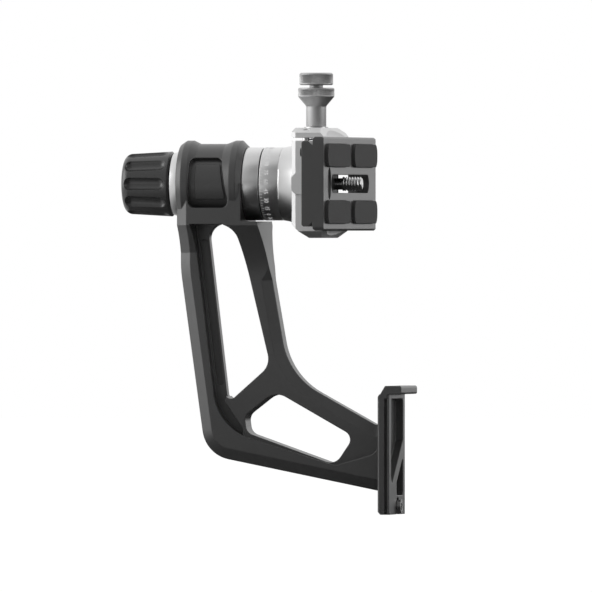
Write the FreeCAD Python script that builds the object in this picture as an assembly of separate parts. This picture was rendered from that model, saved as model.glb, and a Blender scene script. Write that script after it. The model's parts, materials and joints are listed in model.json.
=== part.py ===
import FreeCAD, Part
import math
import os

from FreeCAD import Vector

# Side-mount gimbal head, in millimetres.
# The origin is the centre of the foot plate's mating face: +X leaves that face, +Z is up,
# and the tilt axis runs along X, straight above the origin.

# Tilt axis and housing
AXIS_HEIGHT = 120.3
HOUSING_LEFT_X = -97.3
HOUSING_RIGHT_X = -67.7
HOUSING_CREST_R = 19.4
HOUSING_SADDLE_R = 17.9
HOUSING_NOSE_R = 17.0
HOUSING_BORE_R = 12.5
RECESS_DEPTH = 1.6
RECESS_TOP_Z = 11.6
RECESS_BOTTOM_Z = -10.7
RECESS_LEFT_INSET = 6.3
RECESS_TOP_WIDTH = 14.0
RECESS_BOTTOM_WIDTH = 18.8
RECESS_PAD_RISE = 0.7
RECESS_PAD_INSET = 3.0
CREST_INSET = 2.4
CREST_WIDTH = 2.8
CREST_SLOPE = 3.1
CREST_CHAMFER = 1.6

# Arm, seen from the front
ARM_BEND_Z = 82.0
ARM_BEND_R = 60.0
ARM_CORNER_X = -86.0
ARM_CORNER_Z = -0.45
ARM_CORNER_R = 14.8
ARM_ELBOW_X = -48.3
ARM_ELBOW_Z = 34.8
ARM_ELBOW_R = 32.0
ARM_TOP_RIGHT_X = -60.4
ARM_FOOT_TOP_Z = 10.85
ARM_FOOT_BOTTOM_Z = -16.95
FOOT_FILLET_R = 3.0
RIM_HALF = 9.0
RIM_BEVEL_IN = 4.9
RIM_BEVEL_DEEP = 4.0
TRUSS_HALF = 6.5
TRUSS_BEVEL_IN = 4.6
TRUSS_BEVEL_DEEP = 2.5
WEB_HALF = 2.5
SLOT_POCKET_DEPTH = 1.1
POCKET_WALL = 6.0
RIM_DIP_X = -26.5
RIM_DIP_Z = -5.3
RIM_RUN = 17.0
RIM_RUN_RISE = 4.9
RIM_END_RISE = 9.5
UPPER_WINDOW_TOP_Z = 102.4
LEFT_STRUT_TOP_WIDTH = 11.7
RIGHT_STRUT_TOP_WIDTH = 11.0
LEFT_STRUT_LOW_WIDTH = 9.8
BRACE_RISE = 22.4
ELBOW_WALL = 8.1
ELBOW_RISE = 4.7
LOWER_WINDOW_PEAK_DROP = 6.9
LOWER_WINDOW_PEAK_BACK = 5.7
LOWER_WINDOW_LEFT_WALL = 18.0
LOWER_WINDOW_RIGHT_WALL = 13.1
LOWER_WINDOW_NOSE_DROP = 3.2
SLOT_POCKET_TOP_WIDTH = 3.6
SLOT_POCKET_LOW_WIDTH = 2.8
SLOT_POCKET_INSET = 8.2
SLOT_POCKET_LOW_INSET = 4.8
SLOT_POCKET_END_GAP = 7.0
SLOT_POCKET_LOW_RISE = 31.0
SKIRT_SWEEP_R = 32.0
SKIRT_END_DROP = 43.0
SKIRT_FADE_HEIGHT = 12.0
SKIRT_FADE_SLOPE = 0.5

# Foot plate with its dovetail
FOOT_HALF_WIDTH = 19.0
FOOT_TOP_Z = 26.6
FOOT_BOTTOM_Z = -27.0
FOOT_THICK = 5.3
FOOT_GROOVE_DEPTH = 1.5
LIP_HEIGHT = 3.75
LIP_REACH = 5.5
FOOT_POCKET_DEPTH = 3.4
FOOT_POCKET_SIDE = 4.5
FOOT_POCKET_TOP = 2.1
FOOT_RIB_HIGH_Z = 6.0
FOOT_RIB_LOW_Z = -13.6
FOOT_RIB_WIDTH = 7.2
FOOT_LOWER_POCKET_Z = -18.6
FOOT_LOWER_POCKET_Y = -1.2
STOP_SCREW_Z = -23.6
STOP_SCREW_Y = 1.5
STOP_HEAD_R = 3.1
STOP_HEAD_HEIGHT = 3.0
STOP_SHANK_R = 1.5
STOP_COUNTERBORE_R = 4.2
STOP_COUNTERBORE_DEPTH = 1.2

# Ball bearings on the axle
AXLE_R = 6.0
BEARING_R = 14.0
BEARING_WIDTH = 8.0
BEARING_RING_WALL = 2.2
BALL_R = 1.9
BALL_COUNT = 8
LEFT_BEARING_X = -96.0
RIGHT_BEARING_X = -77.0
RUNNING_GAP = 0.05
BALL_GAP = 0.3

# Collars beside the housing
KNOB_COLLAR_R = 14.7
KNOB_COLLAR_LENGTH = 3.6
KNOB_COLLAR_BORE_R = 9.3
CAP_R = 16.3
CAP_LENGTH = 7.4
CAP_BORE_R = 7.9
SPIGOT_LENGTH = 1.1
SEAT_GAP = 0.1

# Lock knob and the axle's threaded end
THREAD_R = 4.97
LOCK_KNOB_LENGTH = 22.0
LOCK_KNOB_R = 14.5
LOCK_KNOB_END_R = 13.5
LOCK_KNOB_CORNER_R = 3.6
FLUTE_COUNT = 10
FLUTE_HALF_WIDTH = 2.8
FLUTE_DEPTH = 1.9
FLUTE_RIM = 1.7
FLUTE_START = 1.4
INSERT_R = 8.0
KNOB_CAP_R = 9.5
KNOB_CAP_THICK = 1.4
THRUST_WASHER_THICK = 0.3

# Scale ring and flared hub, which turn with the clamp
RING_LENGTH = 8.4
RING_GAP = 0.5
HUB_SPIGOT_R = 12.5
HUB_LENGTH = 8.9
HUB_FACE_R = 18.4
HUB_EDGE = 0.5
HUB_WEB = 5.0
CENTRE_SCREW_R = 2.5
CENTRE_SCREW_END = 15.0
CENTRE_HEAD_R = 5.1
CENTRE_HEAD_THICK = 2.9
CENTRE_HEAD_SINK = 0.2
FRICTION_WASHER_THICK = 0.3

# Clamp for the quick-release plate
CLAMP_HALF_LENGTH = 30.0
CLAMP_BASE_THICK = 10.0
JAW_REACH = 4.6
CLAMP_BOTTOM_Z = -24.1
CLAMP_BODY_TOP_Z = 19.2
JAW_GAP = 1.3
JAW_TOP_Z = 25.0
JAW_END_THICK = 2.3
JAW_FLAT_HALF = 20.0
CLAMP_CHAMFER = 6.3
CLAMP_BASE_END_RISE = 3.0
CLAMP_BACK_BEVEL = 2.0
JAW_FRONT_BEVEL_X = 3.0
JAW_FRONT_BEVEL_Z = 3.8
SCALLOP_HALF = 22.0
SCALLOP_DEPTH = 2.1
TAB_HALF_HEIGHT = 4.7
TAB_THICK = 1.0
HUB_SCREW_Y = 9.5
HUB_SCREW_Z = 6.5
HUB_SCREW_R = 2.0
HUB_SCREW_REACH = 8.5
HUB_SCREW_HEAD_R = 3.5
HUB_SCREW_HEAD = 4.0
GUIDE_PIN_Y = 24.0
GUIDE_PIN_R = 1.5
GUIDE_PIN_LENGTH = 12.0
SPRING_Y = 16.0
SPRING_R = 2.4
SPRING_WIRE_R = 0.35
SPRING_DEPTH = 6.0
SPRING_TURNS = 4

# Clamp knob and its draw screw
KNOB_INSET = 5.7
STEM_R = 4.5
STEM_LENGTH = 9.2
CONE_LENGTH = 3.8
LOWER_TIER_R = 8.1
LOWER_TIER_LENGTH = 4.4
TIER_GROOVE = 1.2
TIER_CORE_R = 3.0
UPPER_TIER_R = 7.5
UPPER_TIER_LENGTH = 5.5
DRAW_SCREW_R = 2.5
DRAW_SCREW_END_Z = 4.0
KNOB_WASHER_THICK = 0.4

# Quick-release plate, its pads and its camera screw
PLATE_LENGTH = 123.5
PLATE_CENTRE_Y = 4.25
PLATE_TOP_HALF = 20.85
PLATE_TOP_THICK = 5.0
DOVETAIL_HALF = 19.0
DOVETAIL_THICK = 5.0
NECK_HALF = 17.0
PLATE_CORNER_R = 3.0
DOVETAIL_GAP = 0.15
PAD_LENGTH = 53.8
PAD_WIDTH = 10.2
PAD_GAP = 9.0
PAD_CENTRE_Z = 12.6
PAD_RISE = 1.5
PAD_SEAT = 0.8
PAD_CORNER_R = 4.4
SLOT_HALF_WIDTH = 4.05
SLOT_NEAR = 43.25
SLOT_FAR = 45.75
CHANNEL_HALF_WIDTH = 7.2
CHANNEL_DEPTH = 3.8
CAMERA_SCREW_Y = 1.6
CAMERA_THREAD_R = 3.175
CAMERA_NECK_R = 2.6
CAMERA_HEAD_R = 6.5
CAMERA_HEAD_THICK = 2.4
CAMERA_SCREW_RISE = 6.2
COIN_SLOT_WIDTH = 1.5
COIN_SLOT_DEPTH = 1.2
THREAD_LENGTH = 8.7
WASHER_THICK = 0.7
PLATE_STOP_INSET = 7.0
PLATE_STOP_R = 2.0
PLATE_STOP_HEIGHT = 1.6
PLATE_STOP_SHANK_R = 1.25
PLATE_STOP_DEPTH = 3.8
PLATE_STOP_Z = 14.0
THUMB_RECESS_HALF_Z = 7.15
THUMB_RECESS_HALF_Y = 4.0
THUMB_RECESS_DEPTH = 0.9

# Places along the tilt axis that follow from the sizes above
COLLAR_LEFT_X = HOUSING_LEFT_X - SEAT_GAP - KNOB_COLLAR_LENGTH
KNOB_RIGHT_X = COLLAR_LEFT_X - SEAT_GAP - THRUST_WASHER_THICK
KNOB_LEFT_X = KNOB_RIGHT_X - LOCK_KNOB_LENGTH
CAP_LEFT_X = HOUSING_RIGHT_X + SEAT_GAP
CAP_RIGHT_X = CAP_LEFT_X + CAP_LENGTH
RING_LEFT_X = CAP_RIGHT_X + RING_GAP
RING_RIGHT_X = RING_LEFT_X + RING_LENGTH
HUB_FRONT_X = RING_RIGHT_X + HUB_LENGTH
CLAMP_FLOOR_X = HUB_FRONT_X + CLAMP_BASE_THICK
JAW_FRONT_X = CLAMP_FLOOR_X + JAW_REACH
PLATE_BACK_X = CLAMP_FLOOR_X + SEAT_GAP
PLATE_NECK_X = PLATE_BACK_X + DOVETAIL_THICK
PLATE_FACE_X = PLATE_NECK_X + PLATE_TOP_THICK
KNOB_AXIS_X = HUB_FRONT_X + KNOB_INSET
LEFT_SLOPE = (ARM_CORNER_X - HOUSING_LEFT_X) / ARM_BEND_Z
BALL_CIRCLE_R = (AXLE_R + BEARING_R) / 2

ACROSS = Vector(1, 0, 0)
AWAY = Vector(0, 1, 0)
UP = Vector(0, 0, 1)


def on_axis(x, y=0.0, z=0.0):
    """Point given by its distance along the tilt axis and its offsets from it."""
    return Vector(x, y, AXIS_HEIGHT + z)


def rounded_wire(corners, place):
    """Closed wire through corners (u, v, radius), each rounded by a tangent arc."""
    points = [place(u, v) for u, v, radius in corners]
    stretches = []
    for index, (u, v, radius) in enumerate(corners):
        here = points[index]
        if radius == 0:
            stretches.append((here, None, here))
            continue
        back = (points[index - 1] - here).normalize()
        ahead = (points[(index + 1) % len(points)] - here).normalize()
        half = back.getAngle(ahead) / 2
        bisector = (back + ahead).normalize()
        centre = here + bisector * (radius / math.sin(half))
        reach = radius / math.tan(half)
        stretches.append((here + back * reach, centre - bisector * radius, here + ahead * reach))
    edges = []
    for index, (start, middle, end) in enumerate(stretches):
        if middle is not None:
            edges.append(Part.Arc(start, middle, end).toShape())
        following = stretches[(index + 1) % len(stretches)][0]
        if (following - end).Length > 1e-6:
            edges.append(Part.makeLine(end, following))
    return Part.Wire(edges)


def front_wire(corners, y):
    """Outline seen from the front, in the plane Y = y."""
    return rounded_wire(corners, lambda x, z: Vector(x, y, z))


def front_prism(corners, y_from, y_to):
    """Solid whose front outline is kept from one Y to another."""
    return Part.Face(front_wire(corners, y_from)).extrude(AWAY * (y_to - y_from))


def face_prism(corners, x_from, x_to):
    """Solid whose outline (y, z) about the tilt axis is kept from one X to another."""
    wire = rounded_wire(corners, lambda y, z: on_axis(x_from, y, z))
    return Part.Face(wire).extrude(ACROSS * (x_to - x_from))


def rod(radius, x_from, x_to, y=0.0, z=0.0):
    """Round bar along the tilt axis."""
    return Part.makeCylinder(radius, x_to - x_from, on_axis(x_from, y, z), ACROSS)


def tube(outer, inner, x_from, x_to):
    """Ring about the tilt axis."""
    return rod(outer, x_from, x_to).cut(rod(inner, x_from, x_to))


def turned(points):
    """Solid of revolution about the tilt axis from (x, radius) corners."""
    path = [on_axis(x, 0, radius) for x, radius in points]
    face = Part.Face(Part.makePolygon(path + [path[0]]))
    return face.revolve(on_axis(0), ACROSS, 360)


def mirrored_depth(shape):
    """The same shape on the other side of the plane Y = 0."""
    return shape.mirror(Vector(0, 0, 0), AWAY)


def fuse_all(shapes):
    """One solid from overlapping ones."""
    return shapes[0].fuse(shapes[1:]).removeSplitter()


def arm_outline(left_inset=0.0, right_inset=0.0):
    """Front outline of the arm, with its left and bottom or its right and top edges drawn in."""
    lean = math.hypot(1, LEFT_SLOPE)
    bottom_slope = (ARM_FOOT_BOTTOM_Z - ARM_CORNER_Z) / (-FOOT_THICK - ARM_CORNER_X)
    bottom_lean = math.hypot(1, bottom_slope)
    strut_slope = (ARM_TOP_RIGHT_X - ARM_ELBOW_X) / (AXIS_HEIGHT - CAP_R - ARM_ELBOW_Z)
    strut_lean = math.hypot(1, strut_slope)
    beam_slope = (ARM_FOOT_TOP_Z - ARM_ELBOW_Z) / (-FOOT_THICK - ARM_ELBOW_X)
    beam_lean = math.hypot(1, beam_slope)
    strut_top = AXIS_HEIGHT - CAP_R - 0.4

    # The drawn-in left corner is where the two shifted edges cross.
    left_shift = left_inset * lean
    bottom_shift = left_inset * bottom_lean
    crossing = 1 + bottom_slope * LEFT_SLOPE
    corner_z = (ARM_CORNER_Z + bottom_shift + bottom_slope * left_shift) / crossing
    corner_x = ARM_CORNER_X + left_shift - LEFT_SLOPE * (corner_z - ARM_CORNER_Z)
    bend_z = ARM_BEND_Z + left_inset * (lean - 1) / LEFT_SLOPE

    # The drawn-in elbow is where the strut's and the beam's shifted edges cross.
    strut_shift = right_inset * strut_lean
    beam_shift = right_inset * beam_lean
    elbow_rise = (-beam_shift - beam_slope * strut_shift) / (1 - beam_slope * strut_slope)
    elbow_z = ARM_ELBOW_Z + elbow_rise
    elbow_x = ARM_ELBOW_X - strut_shift + strut_slope * elbow_rise
    top_x = ARM_ELBOW_X - strut_shift + strut_slope * (strut_top - ARM_ELBOW_Z)
    plate_inside = -FOOT_THICK / 2
    fillet = FOOT_FILLET_R
    return [
        (HOUSING_LEFT_X + left_inset, AXIS_HEIGHT, 0),
        (HOUSING_LEFT_X + left_inset, bend_z, ARM_BEND_R - left_inset),
        (corner_x, corner_z, ARM_CORNER_R - left_inset),
        (-FOOT_THICK, ARM_FOOT_BOTTOM_Z + bottom_shift, fillet),
        (-FOOT_THICK, ARM_FOOT_BOTTOM_Z + bottom_shift - 2 * fillet, 0),
        (plate_inside, ARM_FOOT_BOTTOM_Z + bottom_shift - 2 * fillet, 0),
        (plate_inside, ARM_FOOT_TOP_Z - beam_shift + 3 * fillet, 0),
        (-FOOT_THICK, ARM_FOOT_TOP_Z - beam_shift + 3 * fillet, 0),
        (-FOOT_THICK, ARM_FOOT_TOP_Z - beam_shift, fillet),
        (elbow_x, elbow_z, ARM_ELBOW_R + right_inset),
        (top_x, strut_top, 0),
        (HOUSING_RIGHT_X, strut_top, 0),
        (HOUSING_RIGHT_X, AXIS_HEIGHT, 0),
    ]


def bevelled_plate(half, left_inset, right_inset, deep):
    """Arm outline as a plate, with a bevel on one side of its outline, front and back."""
    core_half = half - deep
    core = front_prism(arm_outline(), -core_half, core_half)
    outer = front_wire(arm_outline(), -core_half)
    inner = front_wire(arm_outline(left_inset, right_inset), -half)
    bevel = Part.makeLoft([outer, inner], True, True)
    return fuse_all([core, bevel, mirrored_depth(bevel)])


def skirt():
    """Block under the housing that sweeps in from the housing's width to the truss."""
    depth = HOUSING_SADDLE_R
    reach = depth - TRUSS_HALF
    rise = math.sqrt(SKIRT_SWEEP_R ** 2 - (SKIRT_SWEEP_R - reach) ** 2)
    half_rise = rise / 2
    half_reach = SKIRT_SWEEP_R - math.sqrt(SKIRT_SWEEP_R ** 2 - half_rise ** 2)
    low = -SKIRT_END_DROP

    def sweep(side):
        start = on_axis(HOUSING_LEFT_X, side * depth, low + rise)
        middle = on_axis(HOUSING_LEFT_X, side * (TRUSS_HALF + half_reach), low + half_rise)
        end = on_axis(HOUSING_LEFT_X, side * TRUSS_HALF, low)
        return start, Part.Arc(start, middle, end).toShape(), end

    near_top, near_arc, near_low = sweep(-1)
    far_top, far_arc, far_low = sweep(1)
    near_shoulder = on_axis(HOUSING_LEFT_X, -depth, 0)
    far_shoulder = on_axis(HOUSING_LEFT_X, depth, 0)
    profile = Part.Wire([
        Part.makeLine(near_shoulder, near_top),
        near_arc,
        Part.makeLine(near_low, far_low),
        far_arc,
        Part.makeLine(far_top, far_shoulder),
        Part.makeLine(far_shoulder, near_shoulder),
    ])
    width = ARM_ELBOW_X - HOUSING_LEFT_X
    swept = Part.Face(profile).extrude(ACROSS * width)
    block = front_prism(arm_outline(), -depth, depth).common(swept)

    # The rim's bevel follows the sweep: the same profile pushed slantwise off the block.
    slant = Vector(RIM_BEVEL_IN, -RIM_BEVEL_DEEP, 0) * (width / RIM_BEVEL_IN)
    shifted = Part.Face(profile)
    shifted.translate(Vector(0, RIM_BEVEL_DEEP, 0))
    near_side = shifted.extrude(slant)
    far_fill = Part.makeBox(width, 2 * depth, SKIRT_END_DROP, on_axis(HOUSING_LEFT_X, 0, low))
    past_bevel = on_axis(HOUSING_LEFT_X + 2 * RIM_BEVEL_IN, -2 * depth, low)
    inner_fill = Part.makeBox(width - 2 * RIM_BEVEL_IN, 4 * depth, SKIRT_END_DROP, past_bevel)
    near_side = near_side.fuse([far_fill, inner_fill])
    fade = bevel_fade(AXIS_HEIGHT + low)
    return block.common(near_side).common(mirrored_depth(near_side)).cut([fade, mirrored_depth(fade)])


def bevel_fade(low_z):
    """Cutter that lets the strut's right bevel run out into the skirt instead of ending in a step."""
    across = 3 * TRUSS_BEVEL_IN
    slope = TRUSS_BEVEL_DEEP / TRUSS_BEVEL_IN
    far_out = -2 * HOUSING_SADDLE_R
    strut_slope = (ARM_TOP_RIGHT_X - ARM_ELBOW_X) / (AXIS_HEIGHT - CAP_R - ARM_ELBOW_Z)
    sections = []
    for rise in (0, SKIRT_FADE_HEIGHT):
        z = low_z + rise
        edge_x = ARM_ELBOW_X + strut_slope * (z - ARM_ELBOW_Z)
        depth = TRUSS_HALF - TRUSS_BEVEL_DEEP + SKIRT_FADE_SLOPE * rise
        corners = [
            Vector(edge_x + 1, -depth + slope, z),
            Vector(edge_x - across, -depth - slope * across, z),
            Vector(edge_x - across, far_out, z),
            Vector(edge_x + 1, far_out, z),
        ]
        sections.append(Part.makePolygon(corners + [corners[0]]))
    return Part.makeLoft(sections, True, True)


def rim_inside():
    """Front outline of everything inside the raised rim."""
    far = [(0, 60, 0), (ARM_ELBOW_X, AXIS_HEIGHT, 0)]
    return [
        (HOUSING_LEFT_X + POCKET_WALL, AXIS_HEIGHT - BEARING_R, 0),
        (ARM_CORNER_X + POCKET_WALL, ARM_CORNER_Z + 2 * POCKET_WALL, 4 * POCKET_WALL),
        (RIM_DIP_X, RIM_DIP_Z, POCKET_WALL),
        (RIM_DIP_X + RIM_RUN, RIM_DIP_Z + RIM_RUN_RISE, POCKET_WALL),
        (-FOOT_THICK - 0.2, RIM_DIP_Z + RIM_END_RISE, 0),
    ] + far


def upper_window():
    """Long opening between the two struts."""
    top = UPPER_WINDOW_TOP_Z
    return [
        (HOUSING_LEFT_X + LEFT_STRUT_TOP_WIDTH, top, 6.4),
        (ARM_TOP_RIGHT_X - RIGHT_STRUT_TOP_WIDTH, top, 8.4),
        (ARM_ELBOW_X - ELBOW_WALL, ARM_ELBOW_Z + ELBOW_RISE, 8),
        (ARM_CORNER_X + LEFT_STRUT_LOW_WIDTH, ARM_CORNER_Z + BRACE_RISE, 2.5),
    ]


def lower_window():
    """Opening above the foot of the arm."""
    left = ARM_CORNER_X + LOWER_WINDOW_LEFT_WALL
    return [
        (ARM_ELBOW_X - LOWER_WINDOW_PEAK_BACK, ARM_ELBOW_Z - LOWER_WINDOW_PEAK_DROP, 8),
        (-FOOT_THICK - LOWER_WINDOW_RIGHT_WALL, ARM_FOOT_TOP_Z - LOWER_WINDOW_NOSE_DROP, 4),
        (RIM_DIP_X - 0.4, RIM_DIP_Z + 0.3, 5.5),
        (left + 1.0, ARM_CORNER_Z + LOWER_WINDOW_LEFT_WALL - 8.2, 4.5),
        (left, ARM_CORNER_Z + LOWER_WINDOW_LEFT_WALL - 0.6, 4.5),
    ]


def web_pocket(y_from, y_to):
    """Sunk field beside the long opening, bounded by the rim and by the brace."""
    brace_x = ARM_CORNER_X + LEFT_STRUT_LOW_WIDTH
    brace_z = ARM_CORNER_Z + BRACE_RISE
    top_x = HOUSING_LEFT_X + LEFT_STRUT_TOP_WIDTH
    window_left = ARM_CORNER_X + LOWER_WINDOW_LEFT_WALL
    field = [
        (HOUSING_LEFT_X - 1, UPPER_WINDOW_TOP_Z, 0),
        (HOUSING_LEFT_X - 1, ARM_CORNER_Z, 0),
        (window_left - 1.6, ARM_CORNER_Z, 0),
        (window_left - 0.6, ARM_CORNER_Z + 2 * POCKET_WALL - 0.4, 3),
        (brace_x - 0.8, brace_z + 1.4, 1),
        (brace_x + 5.0, brace_z + BRACE_RISE, 0),
        (top_x + 10.0, UPPER_WINDOW_TOP_Z, 0),
    ]
    inside = front_prism(rim_inside(), y_from, y_to)
    return inside.common(front_prism(field, y_from, y_to))


def slot_pocket():
    """Slender groove in the sunk field."""
    top_x = HOUSING_LEFT_X + SLOT_POCKET_INSET
    top_z = UPPER_WINDOW_TOP_Z - SLOT_POCKET_END_GAP
    low_x = ARM_CORNER_X + SLOT_POCKET_LOW_INSET
    low_z = ARM_CORNER_Z + SLOT_POCKET_LOW_RISE
    top_r = 0.42 * SLOT_POCKET_TOP_WIDTH
    low_r = 0.42 * SLOT_POCKET_LOW_WIDTH
    return [
        (top_x, top_z, top_r),
        (top_x + SLOT_POCKET_TOP_WIDTH, top_z, top_r),
        (low_x + SLOT_POCKET_LOW_WIDTH, low_z, low_r),
        (low_x, low_z, low_r),
    ]


def housing_body():
    """Round housing with a crest at each end and a waist between."""
    left = HOUSING_LEFT_X + CREST_INSET
    right = HOUSING_RIGHT_X - CREST_INSET
    return turned([
        (HOUSING_LEFT_X, 0),
        (HOUSING_LEFT_X, HOUSING_CREST_R - CREST_CHAMFER),
        (left, HOUSING_CREST_R),
        (left + CREST_WIDTH, HOUSING_CREST_R),
        (left + CREST_WIDTH + CREST_SLOPE, HOUSING_SADDLE_R),
        (right - CREST_WIDTH - CREST_SLOPE - 1.0, HOUSING_SADDLE_R),
        (right - CREST_WIDTH, HOUSING_CREST_R),
        (right, HOUSING_CREST_R),
        (HOUSING_RIGHT_X, HOUSING_NOSE_R),
        (HOUSING_RIGHT_X, 0),
    ])


def housing_recess():
    """Sunk panel on the housing's front, with a raised field inside it."""
    front = -HOUSING_CREST_R - 1
    top = AXIS_HEIGHT + RECESS_TOP_Z
    bottom = AXIS_HEIGHT + RECESS_BOTTOM_Z
    left = HOUSING_LEFT_X + RECESS_LEFT_INSET
    outline = [
        (left, top, 2.5),
        (left + RECESS_TOP_WIDTH, top, 2.5),
        (left + RECESS_BOTTOM_WIDTH - 0.8, bottom, 3),
        (left - 0.8, bottom, 3),
    ]
    cutter = front_prism(outline, front, 0)
    inset = RECESS_PAD_INSET
    pad_outline = [
        (left + 0.8 * inset, top - inset, 1),
        (left + RECESS_TOP_WIDTH - 0.2 * inset, top - inset, 1),
        (left + RECESS_BOTTOM_WIDTH - inset, bottom + 1.3 * inset, 1),
        (left + 0.8 * inset, bottom + 1.3 * inset, 1),
    ]
    pad = front_prism(pad_outline, front, 0)
    floor = rod(HOUSING_SADDLE_R - RECESS_DEPTH, HOUSING_LEFT_X, HOUSING_RIGHT_X)
    pad_r = HOUSING_SADDLE_R - RECESS_DEPTH + RECESS_PAD_RISE
    pad_floor = rod(pad_r, HOUSING_LEFT_X, HOUSING_RIGHT_X)
    return cutter.cut(floor).cut(pad.common(pad_floor))


def dovetail_section(back_x, groove_out):
    """Half of the foot plate's section (x, y), from its back to its mating face."""
    half = FOOT_HALF_WIDTH
    return [
        (back_x, half - 0.6),
        (back_x + 0.6, half),
        (groove_out - FOOT_GROOVE_DEPTH - 0.3, half),
        (groove_out - FOOT_GROOVE_DEPTH, half - FOOT_GROOVE_DEPTH),
        (groove_out, half),
        (0, half - 0.3),
    ]


def foot_plate():
    """Dovetail plate that a clamp grips, with a stop lip along its top edge."""
    near = dovetail_section(-FOOT_THICK, -0.5)
    path = [Vector(x, y, FOOT_BOTTOM_Z) for x, y in near]
    path += [Vector(x, -y, FOOT_BOTTOM_Z) for x, y in reversed(near)]
    plate = Part.Face(Part.makePolygon(path + [path[0]])).extrude(UP * (FOOT_TOP_Z - FOOT_BOTTOM_Z))
    lip_corners = [
        (-FOOT_THICK + 3.4, FOOT_TOP_Z + LIP_HEIGHT, 0.6),
        (LIP_REACH, FOOT_TOP_Z + LIP_HEIGHT, 1.0),
        (LIP_REACH, FOOT_TOP_Z, 0.8),
        (-1.0, FOOT_TOP_Z, 0),
        (-1.0, FOOT_TOP_Z - 2, 0),
        (-FOOT_THICK, FOOT_TOP_Z - 2, 0),
    ]
    lip = front_prism(lip_corners, -FOOT_HALF_WIDTH, FOOT_HALF_WIDTH)
    corner = [
        (-FOOT_THICK - 1, FOOT_TOP_Z - 3.2, 0),
        (-FOOT_THICK - 1, FOOT_TOP_Z + LIP_HEIGHT + 1, 0),
        (-FOOT_THICK + 3.4, FOOT_TOP_Z + LIP_HEIGHT + 1, 0),
        (-FOOT_THICK + 3.4, FOOT_TOP_Z + LIP_HEIGHT, 0),
        (-FOOT_THICK, FOOT_TOP_Z - 1.2, 0),
    ]
    toe = [
        (-FOOT_THICK - 1, FOOT_BOTTOM_Z - 1, 0),
        (-FOOT_THICK + 1.3, FOOT_BOTTOM_Z - 1, 0),
        (-FOOT_THICK + 1.3, FOOT_BOTTOM_Z, 0),
        (-FOOT_THICK, FOOT_BOTTOM_Z + 1.3, 0),
        (-FOOT_THICK - 1, FOOT_BOTTOM_Z + 1.3, 0),
    ]
    reach = FOOT_HALF_WIDTH + 1
    whole = plate.fuse(lip).cut(front_prism(corner, -reach, reach)).cut(front_prism(toe, -reach, reach))
    return whole.removeSplitter()


def foot_pockets():
    """Two lightening pockets in the mating face, with a slanting rib between them."""
    def pocket(corners):
        wire = rounded_wire(corners, lambda y, z: Vector(1, y, z))
        return Part.Face(wire).extrude(ACROSS * -(FOOT_POCKET_DEPTH + 1))
    side = FOOT_HALF_WIDTH - FOOT_POCKET_SIDE
    top = FOOT_TOP_Z - FOOT_POCKET_TOP
    slope = (FOOT_RIB_HIGH_Z - FOOT_RIB_LOW_Z) / (2 * side - 2.5)
    rib_low = FOOT_RIB_LOW_Z + slope * (FOOT_LOWER_POCKET_Y + side - 2.5) - FOOT_RIB_WIDTH
    upper = [
        (-side, top, 2),
        (side, top, 2),
        (side, FOOT_RIB_HIGH_Z, 2),
        (2.5 - side, FOOT_RIB_LOW_Z, 1.5),
        (-side, FOOT_RIB_LOW_Z + 3.6, 1),
    ]
    lower = [
        (FOOT_LOWER_POCKET_Y, FOOT_LOWER_POCKET_Z, 1.5),
        (side, FOOT_LOWER_POCKET_Z, 1.5),
        (side, FOOT_RIB_HIGH_Z - FOOT_RIB_WIDTH, 1.2),
        (FOOT_LOWER_POCKET_Y, rib_low, 1),
    ]
    return [pocket(upper), pocket(lower)]


def stop_counterbore():
    """Sunk seat of the stop screw, open towards the foot plate's lower end."""
    floor = Vector(-STOP_COUNTERBORE_DEPTH, STOP_SCREW_Y, STOP_SCREW_Z)
    deep = STOP_COUNTERBORE_DEPTH + 1
    round_end = Part.makeCylinder(STOP_COUNTERBORE_R, deep, floor, ACROSS)
    mouth_corner = Vector(-STOP_COUNTERBORE_DEPTH, STOP_SCREW_Y - STOP_COUNTERBORE_R, FOOT_BOTTOM_Z - 1)
    mouth = Part.makeBox(deep, 2 * STOP_COUNTERBORE_R, STOP_SCREW_Z - FOOT_BOTTOM_Z + 1, mouth_corner)
    return round_end.fuse(mouth)


def offset_arm():
    """One-piece machined arm: housing, truss and foot plate."""
    rim = bevelled_plate(RIM_HALF, RIM_BEVEL_IN, 0, RIM_BEVEL_DEEP)
    truss = bevelled_plate(TRUSS_HALF, 0, TRUSS_BEVEL_IN, TRUSS_BEVEL_DEEP).common(rim)
    inside = front_prism(rim_inside(), -RIM_HALF - 1, RIM_HALF + 1)
    solid = fuse_all([truss, rim.cut(inside), skirt(), housing_body(), foot_plate()])
    through = HOUSING_CREST_R + 1
    stop_hole = Vector(0, STOP_SCREW_Y, STOP_SCREW_Z)
    cuts = [
        front_prism(upper_window(), -through, through),
        front_prism(lower_window(), -through, through),
        web_pocket(-through, -WEB_HALF),
        web_pocket(WEB_HALF, through),
        front_prism(slot_pocket(), -through, -WEB_HALF + SLOT_POCKET_DEPTH),
        front_prism(slot_pocket(), WEB_HALF - SLOT_POCKET_DEPTH, through),
        housing_recess(),
        rod(HOUSING_BORE_R, HOUSING_LEFT_X, HOUSING_RIGHT_X),
        rod(BEARING_R + RUNNING_GAP, HOUSING_LEFT_X, LEFT_BEARING_X + BEARING_WIDTH),
        rod(BEARING_R + RUNNING_GAP, RIGHT_BEARING_X, HOUSING_RIGHT_X),
        Part.makeCylinder(STOP_SHANK_R + RUNNING_GAP, FOOT_THICK, stop_hole, -ACROSS),
        stop_counterbore(),
    ] + foot_pockets()
    return solid.cut(cuts).removeSplitter()


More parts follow.
